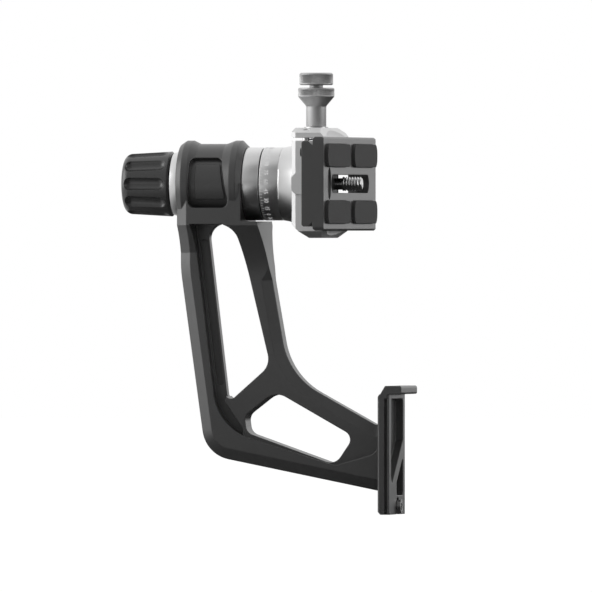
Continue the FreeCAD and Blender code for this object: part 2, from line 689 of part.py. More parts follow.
def foot_stop_screw():
    """Socket screw that keeps the foot from sliding out of its clamp."""
    seat = -STOP_COUNTERBORE_DEPTH + RUNNING_GAP

    def at(x):
        return Vector(x, STOP_SCREW_Y, STOP_SCREW_Z)
    head = Part.makeCylinder(STOP_HEAD_R, STOP_HEAD_HEIGHT, at(seat), ACROSS)
    shank_length = FOOT_THICK - STOP_COUNTERBORE_DEPTH - 0.3
    shank = Part.makeCylinder(STOP_SHANK_R, shank_length, at(seat), -ACROSS)
    socket = hex_socket(at(seat + STOP_HEAD_HEIGHT), ACROSS, STOP_HEAD_R / 2, STOP_HEAD_HEIGHT / 2)
    return head.fuse(shank).cut(socket).removeSplitter()


def hex_socket(mouth, outward, half_flats, depth):
    """Six-sided hole that sinks from its mouth against the outward direction."""
    corner_r = half_flats / math.cos(math.pi / 6)
    side = AWAY if abs(outward.y) < 0.5 else ACROSS
    other = outward.cross(side)
    path = []
    for step in range(6):
        turn = step * math.pi / 3
        path.append(mouth + side * (corner_r * math.cos(turn)) + other * (corner_r * math.sin(turn)))
    return Part.Face(Part.makePolygon(path + [path[0]])).extrude(outward * -depth)


def groove_ring(x_middle, swept_r):
    """Ring-shaped track that a ball bearing's balls run in."""
    return Part.makeTorus(BALL_CIRCLE_R, swept_r, on_axis(x_middle), ACROSS)


def bearing_outer_ring(x_left):
    """Outer ring with its ball track."""
    ring = tube(BEARING_R, BEARING_R - BEARING_RING_WALL, x_left, x_left + BEARING_WIDTH)
    return ring.cut(groove_ring(x_left + BEARING_WIDTH / 2, BALL_R + RUNNING_GAP))


def bearing_inner_ring(x_left):
    """Inner ring with its ball track."""
    bore = AXLE_R + RUNNING_GAP
    ring = tube(AXLE_R + BEARING_RING_WALL, bore, x_left, x_left + BEARING_WIDTH)
    return ring.cut(groove_ring(x_left + BEARING_WIDTH / 2, BALL_R + BALL_GAP))


def bearing_balls(x_left):
    """Balls spaced evenly round the bearing."""
    balls = []
    for step in range(BALL_COUNT):
        turn = 2 * math.pi * step / BALL_COUNT
        centre = on_axis(
            x_left + BEARING_WIDTH / 2,
            BALL_CIRCLE_R * math.cos(turn),
            BALL_CIRCLE_R * math.sin(turn),
        )
        balls.append(Part.makeSphere(BALL_R, centre))
    return Part.makeCompound(balls)


def knob_side_collar():
    """Bright collar that closes the housing behind the lock knob."""
    flange = turned([
        (COLLAR_LEFT_X, 0),
        (COLLAR_LEFT_X, KNOB_COLLAR_R - 0.5),
        (COLLAR_LEFT_X + 0.5, KNOB_COLLAR_R),
        (HOUSING_LEFT_X - SEAT_GAP, KNOB_COLLAR_R),
        (HOUSING_LEFT_X - SEAT_GAP, BEARING_R - SEAT_GAP),
        (LEFT_BEARING_X - SEAT_GAP, BEARING_R - SEAT_GAP),
        (LEFT_BEARING_X - SEAT_GAP, 0),
    ])
    return flange.cut(rod(KNOB_COLLAR_BORE_R, COLLAR_LEFT_X, LEFT_BEARING_X))


def bearing_cap():
    """Bright ring that closes the housing on the clamp side and carries the scale's zero mark."""
    body = turned([
        (RIGHT_BEARING_X + BEARING_WIDTH + SEAT_GAP, 0),
        (RIGHT_BEARING_X + BEARING_WIDTH + SEAT_GAP, BEARING_R - SEAT_GAP),
        (CAP_LEFT_X, BEARING_R - SEAT_GAP),
        (CAP_LEFT_X, CAP_R),
        (CAP_RIGHT_X, CAP_R),
        (CAP_RIGHT_X, 0),
    ])
    return body.cut(rod(CAP_BORE_R, RIGHT_BEARING_X, CAP_RIGHT_X))


def friction_washer():
    """Thin disc in the gap between the cap and the turning scale ring."""
    left = CAP_RIGHT_X + SEAT_GAP
    return tube(CAP_R - 0.6, CAP_BORE_R, left, left + FRICTION_WASHER_THICK)


def tilt_axle():
    """Steel axle: journal in the bearings, shoulder, and a threaded end for the lock knob."""
    shoulder_x = RIGHT_BEARING_X + BEARING_WIDTH + RUNNING_GAP
    axle = turned([
        (KNOB_LEFT_X + KNOB_CAP_THICK + 3.0, 0),
        (KNOB_LEFT_X + KNOB_CAP_THICK + 3.0, THREAD_R - 0.8),
        (KNOB_LEFT_X + KNOB_CAP_THICK + 3.8, THREAD_R),
        (LEFT_BEARING_X + 0.5, THREAD_R),
        (LEFT_BEARING_X + 0.5, AXLE_R),
        (shoulder_x, AXLE_R),
        (shoulder_x, CAP_BORE_R - 0.4),
        (RING_LEFT_X - RUNNING_GAP, CAP_BORE_R - 0.4),
        (RING_LEFT_X - RUNNING_GAP, AXLE_R),
        (HUB_FRONT_X - HUB_WEB - 0.2, AXLE_R),
        (HUB_FRONT_X - HUB_WEB - 0.2, 0),
    ])
    hole_end = HUB_FRONT_X - CENTRE_SCREW_END - 1
    return axle.cut(rod(CENTRE_SCREW_R + RUNNING_GAP, hole_end, HUB_FRONT_X - HUB_WEB))


def thrust_sleeve():
    """Sleeve that carries the lock knob's pull to the bearing's inner ring."""
    return turned([
        (COLLAR_LEFT_X, THREAD_R + RUNNING_GAP),
        (COLLAR_LEFT_X, KNOB_COLLAR_BORE_R - 0.35),
        (LEFT_BEARING_X - 1.5, KNOB_COLLAR_BORE_R - 0.35),
        (LEFT_BEARING_X - RUNNING_GAP, AXLE_R + BEARING_RING_WALL - 0.2),
        (LEFT_BEARING_X - RUNNING_GAP, THREAD_R + RUNNING_GAP),
    ])


def axle_spacer():
    """Tube that holds the two inner rings apart."""
    return tube(
        AXLE_R + BEARING_RING_WALL - 0.4,
        AXLE_R + RUNNING_GAP,
        LEFT_BEARING_X + BEARING_WIDTH + RUNNING_GAP,
        RIGHT_BEARING_X - RUNNING_GAP,
    )


def flute_cutter():
    """Ball-ended cutter along the lock knob's near side, sunk by the flute's depth."""
    crown = FLUTE_HALF_WIDTH ** 2 / (2 * LOCK_KNOB_R)
    chord_depth = FLUTE_DEPTH - crown
    cutter_r = (FLUTE_HALF_WIDTH ** 2 + chord_depth ** 2) / (2 * chord_depth)
    outside = cutter_r - FLUTE_DEPTH
    end_reach = math.sqrt(cutter_r ** 2 - outside ** 2)
    start = on_axis(KNOB_LEFT_X + FLUTE_START + end_reach, -LOCK_KNOB_END_R - outside)
    end = on_axis(KNOB_RIGHT_X - FLUTE_RIM - end_reach, -LOCK_KNOB_R - outside)
    bar = Part.makeCylinder(cutter_r, (end - start).Length, start, end - start)
    return bar.fuse([Part.makeSphere(cutter_r, start), Part.makeSphere(cutter_r, end)])


def lock_knob():
    """Fluted hand knob with a plain rim beside the collar."""
    corner = LOCK_KNOB_CORNER_R
    start = on_axis(KNOB_LEFT_X, 0, LOCK_KNOB_END_R - corner)
    middle = on_axis(
        KNOB_LEFT_X + corner * (1 - math.cos(math.pi / 4)),
        0,
        LOCK_KNOB_END_R - corner * (1 - math.sin(math.pi / 4)),
    )
    end = on_axis(KNOB_LEFT_X + corner, 0, LOCK_KNOB_END_R)
    shoulder = on_axis(KNOB_RIGHT_X - 0.8, 0, LOCK_KNOB_R)
    rim = on_axis(KNOB_RIGHT_X, 0, LOCK_KNOB_R - 0.8)
    edges = [
        Part.makeLine(on_axis(KNOB_LEFT_X), start),
        Part.Arc(start, middle, end).toShape(),
        Part.makeLine(end, shoulder),
        Part.makeLine(shoulder, rim),
        Part.makeLine(rim, on_axis(KNOB_RIGHT_X)),
        Part.makeLine(on_axis(KNOB_RIGHT_X), on_axis(KNOB_LEFT_X)),
    ]
    body = Part.Face(Part.Wire(edges)).revolve(on_axis(0), ACROSS, 360)
    cutter = flute_cutter()
    flutes = []
    for step in range(FLUTE_COUNT):
        flute = cutter.copy()
        flute.rotate(on_axis(0), ACROSS, 360.0 * step / FLUTE_COUNT)
        flutes.append(flute)
    bores = [
        rod(INSERT_R + RUNNING_GAP, KNOB_LEFT_X + KNOB_CAP_THICK + 1.0, KNOB_RIGHT_X),
        rod(KNOB_CAP_R + RUNNING_GAP, KNOB_LEFT_X, KNOB_LEFT_X + KNOB_CAP_THICK),
    ]
    return body.cut(flutes + bores)


def lock_knob_insert():
    """Threaded bush pressed into the lock knob."""
    left = KNOB_LEFT_X + KNOB_CAP_THICK + 1.2
    return tube(INSERT_R, THREAD_R + RUNNING_GAP, left, KNOB_RIGHT_X - RUNNING_GAP)


def lock_knob_cap():
    """Disc that closes the outer end of the lock knob."""
    return rod(KNOB_CAP_R, KNOB_LEFT_X + 0.2, KNOB_LEFT_X + KNOB_CAP_THICK - RUNNING_GAP)


def thrust_washer():
    """Thin washer between the lock knob and the collar."""
    left = KNOB_RIGHT_X + SEAT_GAP / 2
    right = COLLAR_LEFT_X - SEAT_GAP / 2
    return tube(KNOB_COLLAR_BORE_R - 0.6, THREAD_R + RUNNING_GAP, left, right)


def scale_ring():
    """Graduated ring that turns with the clamp."""
    return tube(CAP_R, HUB_SPIGOT_R + RUNNING_GAP, RING_LEFT_X, RING_RIGHT_X - RUNNING_GAP)


def hub_screw_places():
    """Where the screws stand that join the clamp to the hub."""
    return [(y, z) for y in (-HUB_SCREW_Y, HUB_SCREW_Y) for z in (-HUB_SCREW_Z, HUB_SCREW_Z)]


def flared_hub():
    """Hub that widens gently towards the clamp."""
    edge = HUB_EDGE
    reach = HUB_LENGTH - edge
    rise = HUB_FACE_R - CAP_R
    flare_r = (reach ** 2 + rise ** 2) / (2 * rise)
    half_rise = flare_r - math.sqrt(flare_r ** 2 - (reach / 2) ** 2)
    start = on_axis(RING_RIGHT_X, 0, CAP_R)
    middle = on_axis(RING_RIGHT_X + reach / 2, 0, CAP_R + half_rise)
    end = on_axis(HUB_FRONT_X - edge, 0, HUB_FACE_R)
    lip = on_axis(HUB_FRONT_X, 0, HUB_FACE_R - edge)
    edges = [
        Part.makeLine(on_axis(RING_LEFT_X), on_axis(RING_LEFT_X, 0, HUB_SPIGOT_R)),
        Part.makeLine(on_axis(RING_LEFT_X, 0, HUB_SPIGOT_R), on_axis(RING_RIGHT_X, 0, HUB_SPIGOT_R)),
        Part.makeLine(on_axis(RING_RIGHT_X, 0, HUB_SPIGOT_R), start),
        Part.Arc(start, middle, end).toShape(),
        Part.makeLine(end, lip),
        Part.makeLine(lip, on_axis(HUB_FRONT_X)),
        Part.makeLine(on_axis(HUB_FRONT_X), on_axis(RING_LEFT_X)),
    ]
    body = Part.Face(Part.Wire(edges)).revolve(on_axis(0), ACROSS, 360)
    cuts = [
        rod(AXLE_R + RUNNING_GAP, RING_LEFT_X - 1, HUB_FRONT_X - HUB_WEB),
        rod(CENTRE_SCREW_R + 0.1, RING_LEFT_X, HUB_FRONT_X),
        rod(CENTRE_HEAD_R + 0.1, HUB_FRONT_X - CENTRE_HEAD_THICK - 0.3, HUB_FRONT_X),
    ]
    for y, z in hub_screw_places():
        hole_end = HUB_FRONT_X - HUB_SCREW_REACH - 0.5
        cuts.append(rod(HUB_SCREW_R + RUNNING_GAP, hole_end, HUB_FRONT_X, y, z))
    return body.cut(cuts)


def hub_centre_screw():
    """Screw that holds the hub on the axle."""
    head_front = HUB_FRONT_X - CENTRE_HEAD_SINK
    head_back = head_front - CENTRE_HEAD_THICK
    head = rod(CENTRE_HEAD_R, head_back, head_front)
    shank = rod(CENTRE_SCREW_R, HUB_FRONT_X - CENTRE_SCREW_END, head_back + 0.1)
    socket = hex_socket(on_axis(head_front), ACROSS, CENTRE_HEAD_R / 2, 2)
    return head.fuse(shank).cut(socket).removeSplitter()


def hub_screws():
    """Four screws from the clamp's floor into the hub."""
    screws = []
    for y, z in hub_screw_places():
        head_back = CLAMP_FLOOR_X - HUB_SCREW_HEAD - 0.1
        head = rod(HUB_SCREW_HEAD_R, head_back, CLAMP_FLOOR_X - 0.1, y, z)
        shank = rod(HUB_SCREW_R, HUB_FRONT_X - HUB_SCREW_REACH, head_back, y, z)
        socket = hex_socket(on_axis(CLAMP_FLOOR_X - 0.1, y, z), ACROSS, 1.5, 2)
        screws.append(head.fuse(shank).cut(socket).removeSplitter())
    return Part.makeCompound(screws)


def clamp_ends(flat_z, end_z, side):
    """Wedges that slope a jaw's outer face down towards both of its ends."""
    wedges = []
    reach = CLAMP_HALF_LENGTH + 1
    slope = (flat_z - end_z) / (CLAMP_HALF_LENGTH - JAW_FLAT_HALF)
    for end in (-1, 1):
        corners = [
            (end * JAW_FLAT_HALF, flat_z, 0),
            (end * reach, flat_z - slope * (reach - JAW_FLAT_HALF), 0),
            (end * reach, flat_z + side * 3, 0),
            (end * JAW_FLAT_HALF, flat_z + side * 3, 0),
        ]
        wedges.append(face_prism(corners, HUB_FRONT_X - 1, JAW_FRONT_X + 1))
    return wedges


def back_bevels(z_from, z_to):
    """Wedges that bevel a jaw's two upright edges beside the hub."""
    wedges = []
    for end in (-1, 1):
        tip = end * CLAMP_HALF_LENGTH
        path = [
            on_axis(HUB_FRONT_X, tip - end * CLAMP_BACK_BEVEL, z_from),
            on_axis(HUB_FRONT_X + CLAMP_BACK_BEVEL, tip, z_from),
            on_axis(HUB_FRONT_X + CLAMP_BACK_BEVEL, tip + end, z_from),
            on_axis(HUB_FRONT_X - 1, tip + end, z_from),
            on_axis(HUB_FRONT_X - 1, tip - end * CLAMP_BACK_BEVEL, z_from),
        ]
        wedges.append(Part.Face(Part.makePolygon(path + [path[0]])).extrude(UP * (z_to - z_from)))
    return wedges


def front_scallop(z_from, z_to):
    """Shallow round scoop in the middle of a jaw's front, past the plate's edge."""
    radius = (SCALLOP_HALF ** 2 + SCALLOP_DEPTH ** 2) / (2 * SCALLOP_DEPTH)
    foot = on_axis(JAW_FRONT_X - SCALLOP_DEPTH + radius, 0, z_from)
    return Part.makeCylinder(radius, z_to - z_from, foot, UP)


def hook(side):
    """Corners of a jaw's hook over the dovetail, from the floor out to the jaw's front."""
    land_x = PLATE_NECK_X - (DOVETAIL_HALF - NECK_HALF)
    wall = DOVETAIL_HALF + DOVETAIL_GAP
    lean = JAW_FRONT_X - land_x + DOVETAIL_GAP * 0.5
    return [
        (CLAMP_FLOOR_X, AXIS_HEIGHT + side * wall, 0),
        (land_x - DOVETAIL_GAP * 0.5, AXIS_HEIGHT + side * wall, 0),
        (JAW_FRONT_X, AXIS_HEIGHT + side * (wall - lean), 0),
    ]


def clamp_base():
    """Clamp floor with the fixed lower jaw."""
    low = AXIS_HEIGHT + CLAMP_BOTTOM_Z
    section = [
        (HUB_FRONT_X, AXIS_HEIGHT + CLAMP_BODY_TOP_Z, 0.4),
        (HUB_FRONT_X, low + CLAMP_CHAMFER, 0),
        (HUB_FRONT_X + CLAMP_CHAMFER, low, 0),
        (JAW_FRONT_X - JAW_FRONT_BEVEL_X, low, 0),
        (JAW_FRONT_X, low + JAW_FRONT_BEVEL_Z, 0),
    ] + hook(-1)[::-1] + [(CLAMP_FLOOR_X, AXIS_HEIGHT + CLAMP_BODY_TOP_Z, 0.4)]
    body = front_prism(section, -CLAMP_HALF_LENGTH, CLAMP_HALF_LENGTH)
    cuts = clamp_ends(CLAMP_BOTTOM_Z, CLAMP_BOTTOM_Z + CLAMP_BASE_END_RISE, -1)
    cuts += back_bevels(CLAMP_BOTTOM_Z - 1, CLAMP_BODY_TOP_Z + 1)
    cuts.append(front_scallop(CLAMP_BOTTOM_Z - 1, -PLATE_TOP_HALF))
    head_seat = CLAMP_FLOOR_X - HUB_SCREW_HEAD - 0.1
    for y, z in hub_screw_places():
        cuts.append(rod(HUB_SCREW_R + RUNNING_GAP, HUB_FRONT_X - 1, CLAMP_FLOOR_X, y, z))
        cuts.append(rod(HUB_SCREW_HEAD_R + 0.1, head_seat, CLAMP_FLOOR_X + 1, y, z))
    top = on_axis(KNOB_AXIS_X, 0, CLAMP_BODY_TOP_Z)
    hole_depth = CLAMP_BODY_TOP_Z - DRAW_SCREW_END_Z + 1
    cuts.append(Part.makeCylinder(DRAW_SCREW_R + RUNNING_GAP, hole_depth, top, -UP))
    pin_seat = GUIDE_PIN_LENGTH - 3.4
    for end in (-1, 1):
        pin_top = top + AWAY * (end * GUIDE_PIN_Y)
        cuts.append(Part.makeCylinder(GUIDE_PIN_R + RUNNING_GAP, pin_seat, pin_top, -UP))
        spring_top = top + AWAY * (end * SPRING_Y)
        cuts.append(Part.makeCylinder(SPRING_R + 0.3, SPRING_DEPTH, spring_top, -UP))
    return body.cut(cuts)


def index_tab():
    """Raised tab as a solid, seated on the clamp's near end."""
    outer = -CLAMP_HALF_LENGTH - TAB_THICK
    return front_prism(tab_outline(), outer, -CLAMP_HALF_LENGTH - RUNNING_GAP)


def tab_outline():
    """Square with its four corners cut off, read round from the lower left."""
    half_width = CLAMP_BASE_THICK / 2 - 0.3
    centre_x = HUB_FRONT_X + CLAMP_BASE_THICK / 2
    cut = 1.8
    quarter = [(half_width - cut, TAB_HALF_HEIGHT), (half_width, TAB_HALF_HEIGHT - cut)]
    signs = [((-1, -1), False), ((1, -1), True), ((1, 1), False), ((-1, 1), True)]
    corners = []
    for (x_side, z_side), flip in signs:
        pair = quarter if flip else list(reversed(quarter))
        for dx, dz in pair:
            corners.append((centre_x + x_side * dx, AXIS_HEIGHT + z_side * dz, 0.3))
    return corners


def jaw_guide_pins():
    """Two pins that stand in the clamp base and guide the moving jaw."""
    pins = []
    for end in (-1, 1):
        foot = on_axis(KNOB_AXIS_X, end * GUIDE_PIN_Y, CLAMP_BODY_TOP_Z - GUIDE_PIN_LENGTH + 3.5)
        pins.append(Part.makeCylinder(GUIDE_PIN_R, GUIDE_PIN_LENGTH - 1.2, foot, UP))
    return Part.makeCompound(pins)


def bow(start, way, end):
    """Circular arc from one point along a direction to another point."""
    chord = end - start
    half_turn = way.getAngle(chord) / 2
    side = (way - chord * (way.dot(chord) / chord.dot(chord))).normalize()
    middle = (start + end) / 2 + side * (chord.Length / 2 * math.tan(half_turn))
    return Part.Arc(start, middle, end).toShape()


def coil_path(foot, radius, pitch, turns):
    """Upright coil as pairs of arcs, one pair to each half turn, all meeting smoothly."""
    def point(step):
        turn = math.pi * step
        return foot + Vector(radius * math.cos(turn), radius * math.sin(turn), pitch * step / 2)

    def way(step):
        turn = math.pi * step
        around = Vector(-radius * math.sin(turn), radius * math.cos(turn), 0)
        return (around + UP * (pitch / (2 * math.pi))).normalize()

    edges = []
    for step in range(2 * turns):
        start, end = point(step), point(step + 1)
        leave, arrive = way(step), way(step + 1)
        gap = end - start
        both = gap.dot(leave + arrive)
        spread = 2 * (1 - leave.dot(arrive))
        reach = (math.sqrt(both ** 2 + spread * gap.dot(gap)) - both) / spread
        joint = (start + leave * reach + end - arrive * reach) / 2
        edges.append(bow(start, leave, joint))
        edges.append(bow(joint, (joint - start - leave * reach).normalize(), end))
    return Part.Wire(edges)


def least_gap(path, turns, wire_r):
    """Smallest clear distance between one turn of a coil and the next, measured on points."""
    half_turn = 12
    points = path.discretize(2 * turns * half_turn + 1)
    gaps = []
    for index, point in enumerate(points):
        gaps += [(other - point).Length for other in points[index + half_turn:]]
    return min(gaps) - 2 * wire_r


def jaw_springs():
    """Two coil springs that push the moving jaw open."""
    length = SPRING_DEPTH + JAW_GAP - 2 * SPRING_WIRE_R - 0.1
    coil_r = SPRING_R - SPRING_WIRE_R
    foot_z = CLAMP_BODY_TOP_Z - SPRING_DEPTH + SPRING_WIRE_R + 0.05
    springs = []
    for end in (-1, 1):
        foot = on_axis(KNOB_AXIS_X, end * SPRING_Y, foot_z)
        path = coil_path(foot, coil_r, length / SPRING_TURNS, SPRING_TURNS)
        section = Part.Wire(Part.makeCircle(SPRING_WIRE_R, foot + ACROSS * coil_r, AWAY))
        springs.append(path.makePipeShell([section], True, False))
    print("spring turns stay", round(least_gap(path, SPRING_TURNS, SPRING_WIRE_R), 2), "mm apart")
    return Part.makeCompound(springs)


def clamp_jaw():
    """Moving upper jaw."""
    inner, land, tip = hook(1)
    slab_low = AXIS_HEIGHT + CLAMP_BODY_TOP_Z + JAW_GAP
    top_z = AXIS_HEIGHT + JAW_TOP_Z
    section = [
        (HUB_FRONT_X, slab_low, 0.4),
        (inner[0] + 2 * DOVETAIL_GAP, slab_low, 0),
        (inner[0] + 2 * DOVETAIL_GAP, inner[1], 0),
        land,
        tip,
        (JAW_FRONT_X, top_z - JAW_FRONT_BEVEL_Z, 0),
        (JAW_FRONT_X - JAW_FRONT_BEVEL_X, top_z, 0),
        (HUB_FRONT_X, top_z, 0.6),
    ]
    body = front_prism(section, -CLAMP_HALF_LENGTH, CLAMP_HALF_LENGTH)
    cuts = clamp_ends(JAW_TOP_Z, CLAMP_BODY_TOP_Z + JAW_GAP + JAW_END_THICK, 1)
    cuts += back_bevels(CLAMP_BODY_TOP_Z, JAW_TOP_Z + 1)
    cuts.append(front_scallop(PLATE_TOP_HALF, JAW_TOP_Z + 1))
    top = on_axis(KNOB_AXIS_X, 0, CLAMP_BODY_TOP_Z)
    cuts.append(Part.makeCylinder(DRAW_SCREW_R + RUNNING_GAP, 10, top, UP))
    for end in (-1, 1):
        pin_foot = top + AWAY * (end * GUIDE_PIN_Y)
        cuts.append(Part.makeCylinder(GUIDE_PIN_R + RUNNING_GAP, 10, pin_foot, UP))
    return body.cut(cuts)


def upright(radius, z_from, z_to, wide=None):
    """Round or tapered post on the clamp knob's axis."""
    foot = on_axis(KNOB_AXIS_X, 0, z_from)
    if wide is None:
        return Part.makeCylinder(radius, z_to - z_from, foot, UP)
    return Part.makeCone(radius, wide, z_to - z_from, foot, UP)


def knob_levels():
    """Heights of the clamp knob's steps above the tilt axis."""
    stem = JAW_TOP_Z + KNOB_WASHER_THICK + 2 * RUNNING_GAP
    cone = stem + STEM_LENGTH
    lower = cone + CONE_LENGTH
    groove = lower + LOWER_TIER_LENGTH
    upper = groove + TIER_GROOVE
    return stem, cone, lower, groove, upper, upper + UPPER_TIER_LENGTH


def clamp_knob():
    """Two-tier thumb knob on a stem."""
    stem, cone, lower, groove, upper, top = knob_levels()
    pieces = [
        upright(STEM_R, stem, cone),
        upright(STEM_R, cone, lower, LOWER_TIER_R - 0.4),
        upright(LOWER_TIER_R - 0.4, lower, lower + 0.5, LOWER_TIER_R),
        upright(LOWER_TIER_R, lower + 0.5, groove - 0.5),
        upright(LOWER_TIER_R, groove - 0.5, groove, LOWER_TIER_R - 0.5),
        upright(TIER_CORE_R, groove, upper),
        upright(UPPER_TIER_R - 0.5, upper, upper + 0.5, UPPER_TIER_R),
        upright(UPPER_TIER_R, upper + 0.5, top - 0.6),
        upright(UPPER_TIER_R, top - 0.6, top, UPPER_TIER_R - 0.6),
    ]
    knob = fuse_all(pieces)
    return knob.cut(upright(DRAW_SCREW_R + RUNNING_GAP, stem, groove))


def draw_screw():
    """Threaded rod that the clamp knob turns to pull the jaw in."""
    groove = knob_levels()[3]
    return upright(DRAW_SCREW_R, DRAW_SCREW_END_Z, groove - 0.1)


def knob_washer():
    """Washer under the clamp knob's stem."""
    low = JAW_TOP_Z + RUNNING_GAP
    ring = upright(STEM_R + 0.9, low, low + KNOB_WASHER_THICK)
    return ring.cut(upright(DRAW_SCREW_R + RUNNING_GAP, low, low + KNOB_WASHER_THICK))


def plate_y(offset):
    """Place along the plate, from its middle."""
    return PLATE_CENTRE_Y + offset


def stadium(half_width, y_from, y_to, x_from, x_to, z=0.0):
    """Round-ended bar along the plate."""
    length = y_to - y_from - 2 * half_width
    first = rod(half_width, x_from, x_to, y_from + half_width, z)
    last = rod(half_width, x_from, x_to, y_to - half_width, z)
    corner = on_axis(x_from, y_from + half_width, z - half_width)
    middle = Part.makeBox(x_to - x_from, length, 2 * half_width, corner)
    return fuse_all([first, middle, last])


def pad_solid(y_middle, z_middle, x_from, x_to, shrink):
    """Pad with strongly rounded ends."""
    half_y = PAD_LENGTH / 2 - shrink
    half_z = PAD_WIDTH / 2 - shrink
    radius = PAD_CORNER_R
    corners = [
        (y_middle - half_y, z_middle - half_z, radius),
        (y_middle + half_y, z_middle - half_z, radius),
        (y_middle + half_y, z_middle + half_z, radius),
        (y_middle - half_y, z_middle + half_z, radius),
    ]
    return face_prism(corners, x_from, x_to)


def pad_places():
    """Centres of the four pads."""
    reach = (PAD_LENGTH + PAD_GAP) / 2
    return [(plate_y(y), z) for y in (-reach, reach) for z in (-PAD_CENTRE_Z, PAD_CENTRE_Z)]


def quick_plate():
    """Dovetail plate that the camera is screwed to."""
    land_x = PLATE_NECK_X - (DOVETAIL_HALF - NECK_HALF)
    half = [
        (PLATE_BACK_X, DOVETAIL_HALF - 0.8),
        (PLATE_BACK_X + 0.8, DOVETAIL_HALF),
        (land_x, DOVETAIL_HALF),
        (PLATE_NECK_X, NECK_HALF),
        (PLATE_NECK_X, PLATE_TOP_HALF - 1.0),
        (PLATE_NECK_X + 1.0, PLATE_TOP_HALF),
        (PLATE_FACE_X - 0.7, PLATE_TOP_HALF),
        (PLATE_FACE_X, PLATE_TOP_HALF - 0.7),
    ]
    near_y = plate_y(-PLATE_LENGTH / 2)
    far_y = plate_y(PLATE_LENGTH / 2)
    path = [on_axis(x, near_y, z) for x, z in half]
    path += [on_axis(x, near_y, -z) for x, z in reversed(half)]
    body = Part.Face(Part.makePolygon(path + [path[0]])).extrude(AWAY * PLATE_LENGTH)
    trim = [
        (near_y, -PLATE_TOP_HALF - 1, PLATE_CORNER_R),
        (far_y, -PLATE_TOP_HALF - 1, PLATE_CORNER_R),
        (far_y, PLATE_TOP_HALF + 1, PLATE_CORNER_R),
        (near_y, PLATE_TOP_HALF + 1, PLATE_CORNER_R),
    ]
    body = body.common(face_prism(trim, PLATE_BACK_X, PLATE_FACE_X))
    slot_from = plate_y(-SLOT_NEAR)
    slot_to = plate_y(SLOT_FAR)
    widen = CHANNEL_HALF_WIDTH - SLOT_HALF_WIDTH
    thumb_recess = Part.makeCylinder(1, THUMB_RECESS_DEPTH, Vector(0, 0, 0), ACROSS)
    stretch = FreeCAD.Matrix()
    stretch.scale(1, THUMB_RECESS_HALF_Y, THUMB_RECESS_HALF_Z)
    thumb_recess = thumb_recess.transformGeometry(stretch)
    recess_y = slot_from - THUMB_RECESS_HALF_Y - 0.6
    thumb_recess.translate(on_axis(PLATE_FACE_X - THUMB_RECESS_DEPTH, recess_y))
    channel_x = PLATE_BACK_X + CHANNEL_DEPTH
    cuts = [
        stadium(SLOT_HALF_WIDTH, slot_from, slot_to, PLATE_BACK_X, PLATE_FACE_X),
        stadium(CHANNEL_HALF_WIDTH, slot_from - widen, slot_to + widen, PLATE_BACK_X, channel_x),
        thumb_recess,
    ]
    for y, z in pad_places():
        cuts.append(pad_solid(y, z, PLATE_FACE_X - PAD_SEAT, PLATE_FACE_X + 1, 0))
    stop_end = PLATE_BACK_X + PLATE_STOP_DEPTH + 0.2
    for y in plate_stop_places():
        cuts.append(rod(PLATE_STOP_SHANK_R + RUNNING_GAP, PLATE_BACK_X, stop_end, y, PLATE_STOP_Z))
    return body.cut(cuts)


def plate_pads():
    """Four rubber pads let into the plate's face."""
    seat_x = PLATE_FACE_X - PAD_SEAT + RUNNING_GAP
    pads = []
    for y, z in pad_places():
        pads.append(pad_solid(y, z, seat_x, PLATE_FACE_X + PAD_RISE, RUNNING_GAP))
    return Part.makeCompound(pads)


def plate_stop_places():
    """Places along the plate of its two stop screws."""
    reach = PLATE_LENGTH / 2 - PLATE_STOP_INSET
    return [plate_y(-reach), plate_y(reach)]


def plate_stop_screws():
    """Two small screws under the plate that stop it at the clamp's ends."""
    head_back = PLATE_BACK_X - RUNNING_GAP
    shank_end = PLATE_BACK_X + PLATE_STOP_DEPTH
    screws = []
    for y in plate_stop_places():
        z = PLATE_STOP_Z
        head = rod(PLATE_STOP_R, PLATE_BACK_X - PLATE_STOP_HEIGHT, head_back, y, z)
        shank = rod(PLATE_STOP_SHANK_R, head_back, shank_end, y, z)
        mouth = on_axis(PLATE_BACK_X - PLATE_STOP_HEIGHT, y, z)
        socket = hex_socket(mouth, -ACROSS, PLATE_STOP_R / 2, PLATE_STOP_HEIGHT / 2)
        screws.append(head.fuse(shank).cut(socket).removeSplitter())
    return Part.makeCompound(screws)


def screw_washer():
    """Washer that slides in the plate's channel and keeps the camera screw in it."""
    x_front = PLATE_BACK_X + CHANNEL_DEPTH - RUNNING_GAP
    ring = rod(CAMERA_HEAD_R, x_front - WASHER_THICK, x_front, CAMERA_SCREW_Y)
    return ring.cut(rod(CAMERA_NECK_R + RUNNING_GAP, x_front - WASHER_THICK, x_front, CAMERA_SCREW_Y))


def camera_screw():
    """Captive screw that stands out of the plate's slot."""
    tip_x = PLATE_FACE_X + CAMERA_SCREW_RISE
    thread_x = tip_x - THREAD_LENGTH
    head_front = PLATE_BACK_X + CHANNEL_DEPTH - WASHER_THICK - 2 * RUNNING_GAP
    head_back = head_front - CAMERA_HEAD_THICK
    y = CAMERA_SCREW_Y
    head = rod(CAMERA_HEAD_R, head_back, head_front, y)
    neck = rod(CAMERA_NECK_R, head_front, thread_x, y)
    thread = rod(CAMERA_THREAD_R, thread_x, tip_x - 0.8, y)
    tip = Part.makeCone(CAMERA_THREAD_R, CAMERA_THREAD_R - 0.8, 0.8, on_axis(tip_x - 0.8, y), ACROSS)
    slot_corner = on_axis(head_back, y - CAMERA_HEAD_R - 1, -COIN_SLOT_WIDTH / 2)
    slot = Part.makeBox(COIN_SLOT_DEPTH, 2 * CAMERA_HEAD_R + 2, COIN_SLOT_WIDTH, slot_corner)
    return fuse_all([head, neck, thread, tip]).cut(slot)


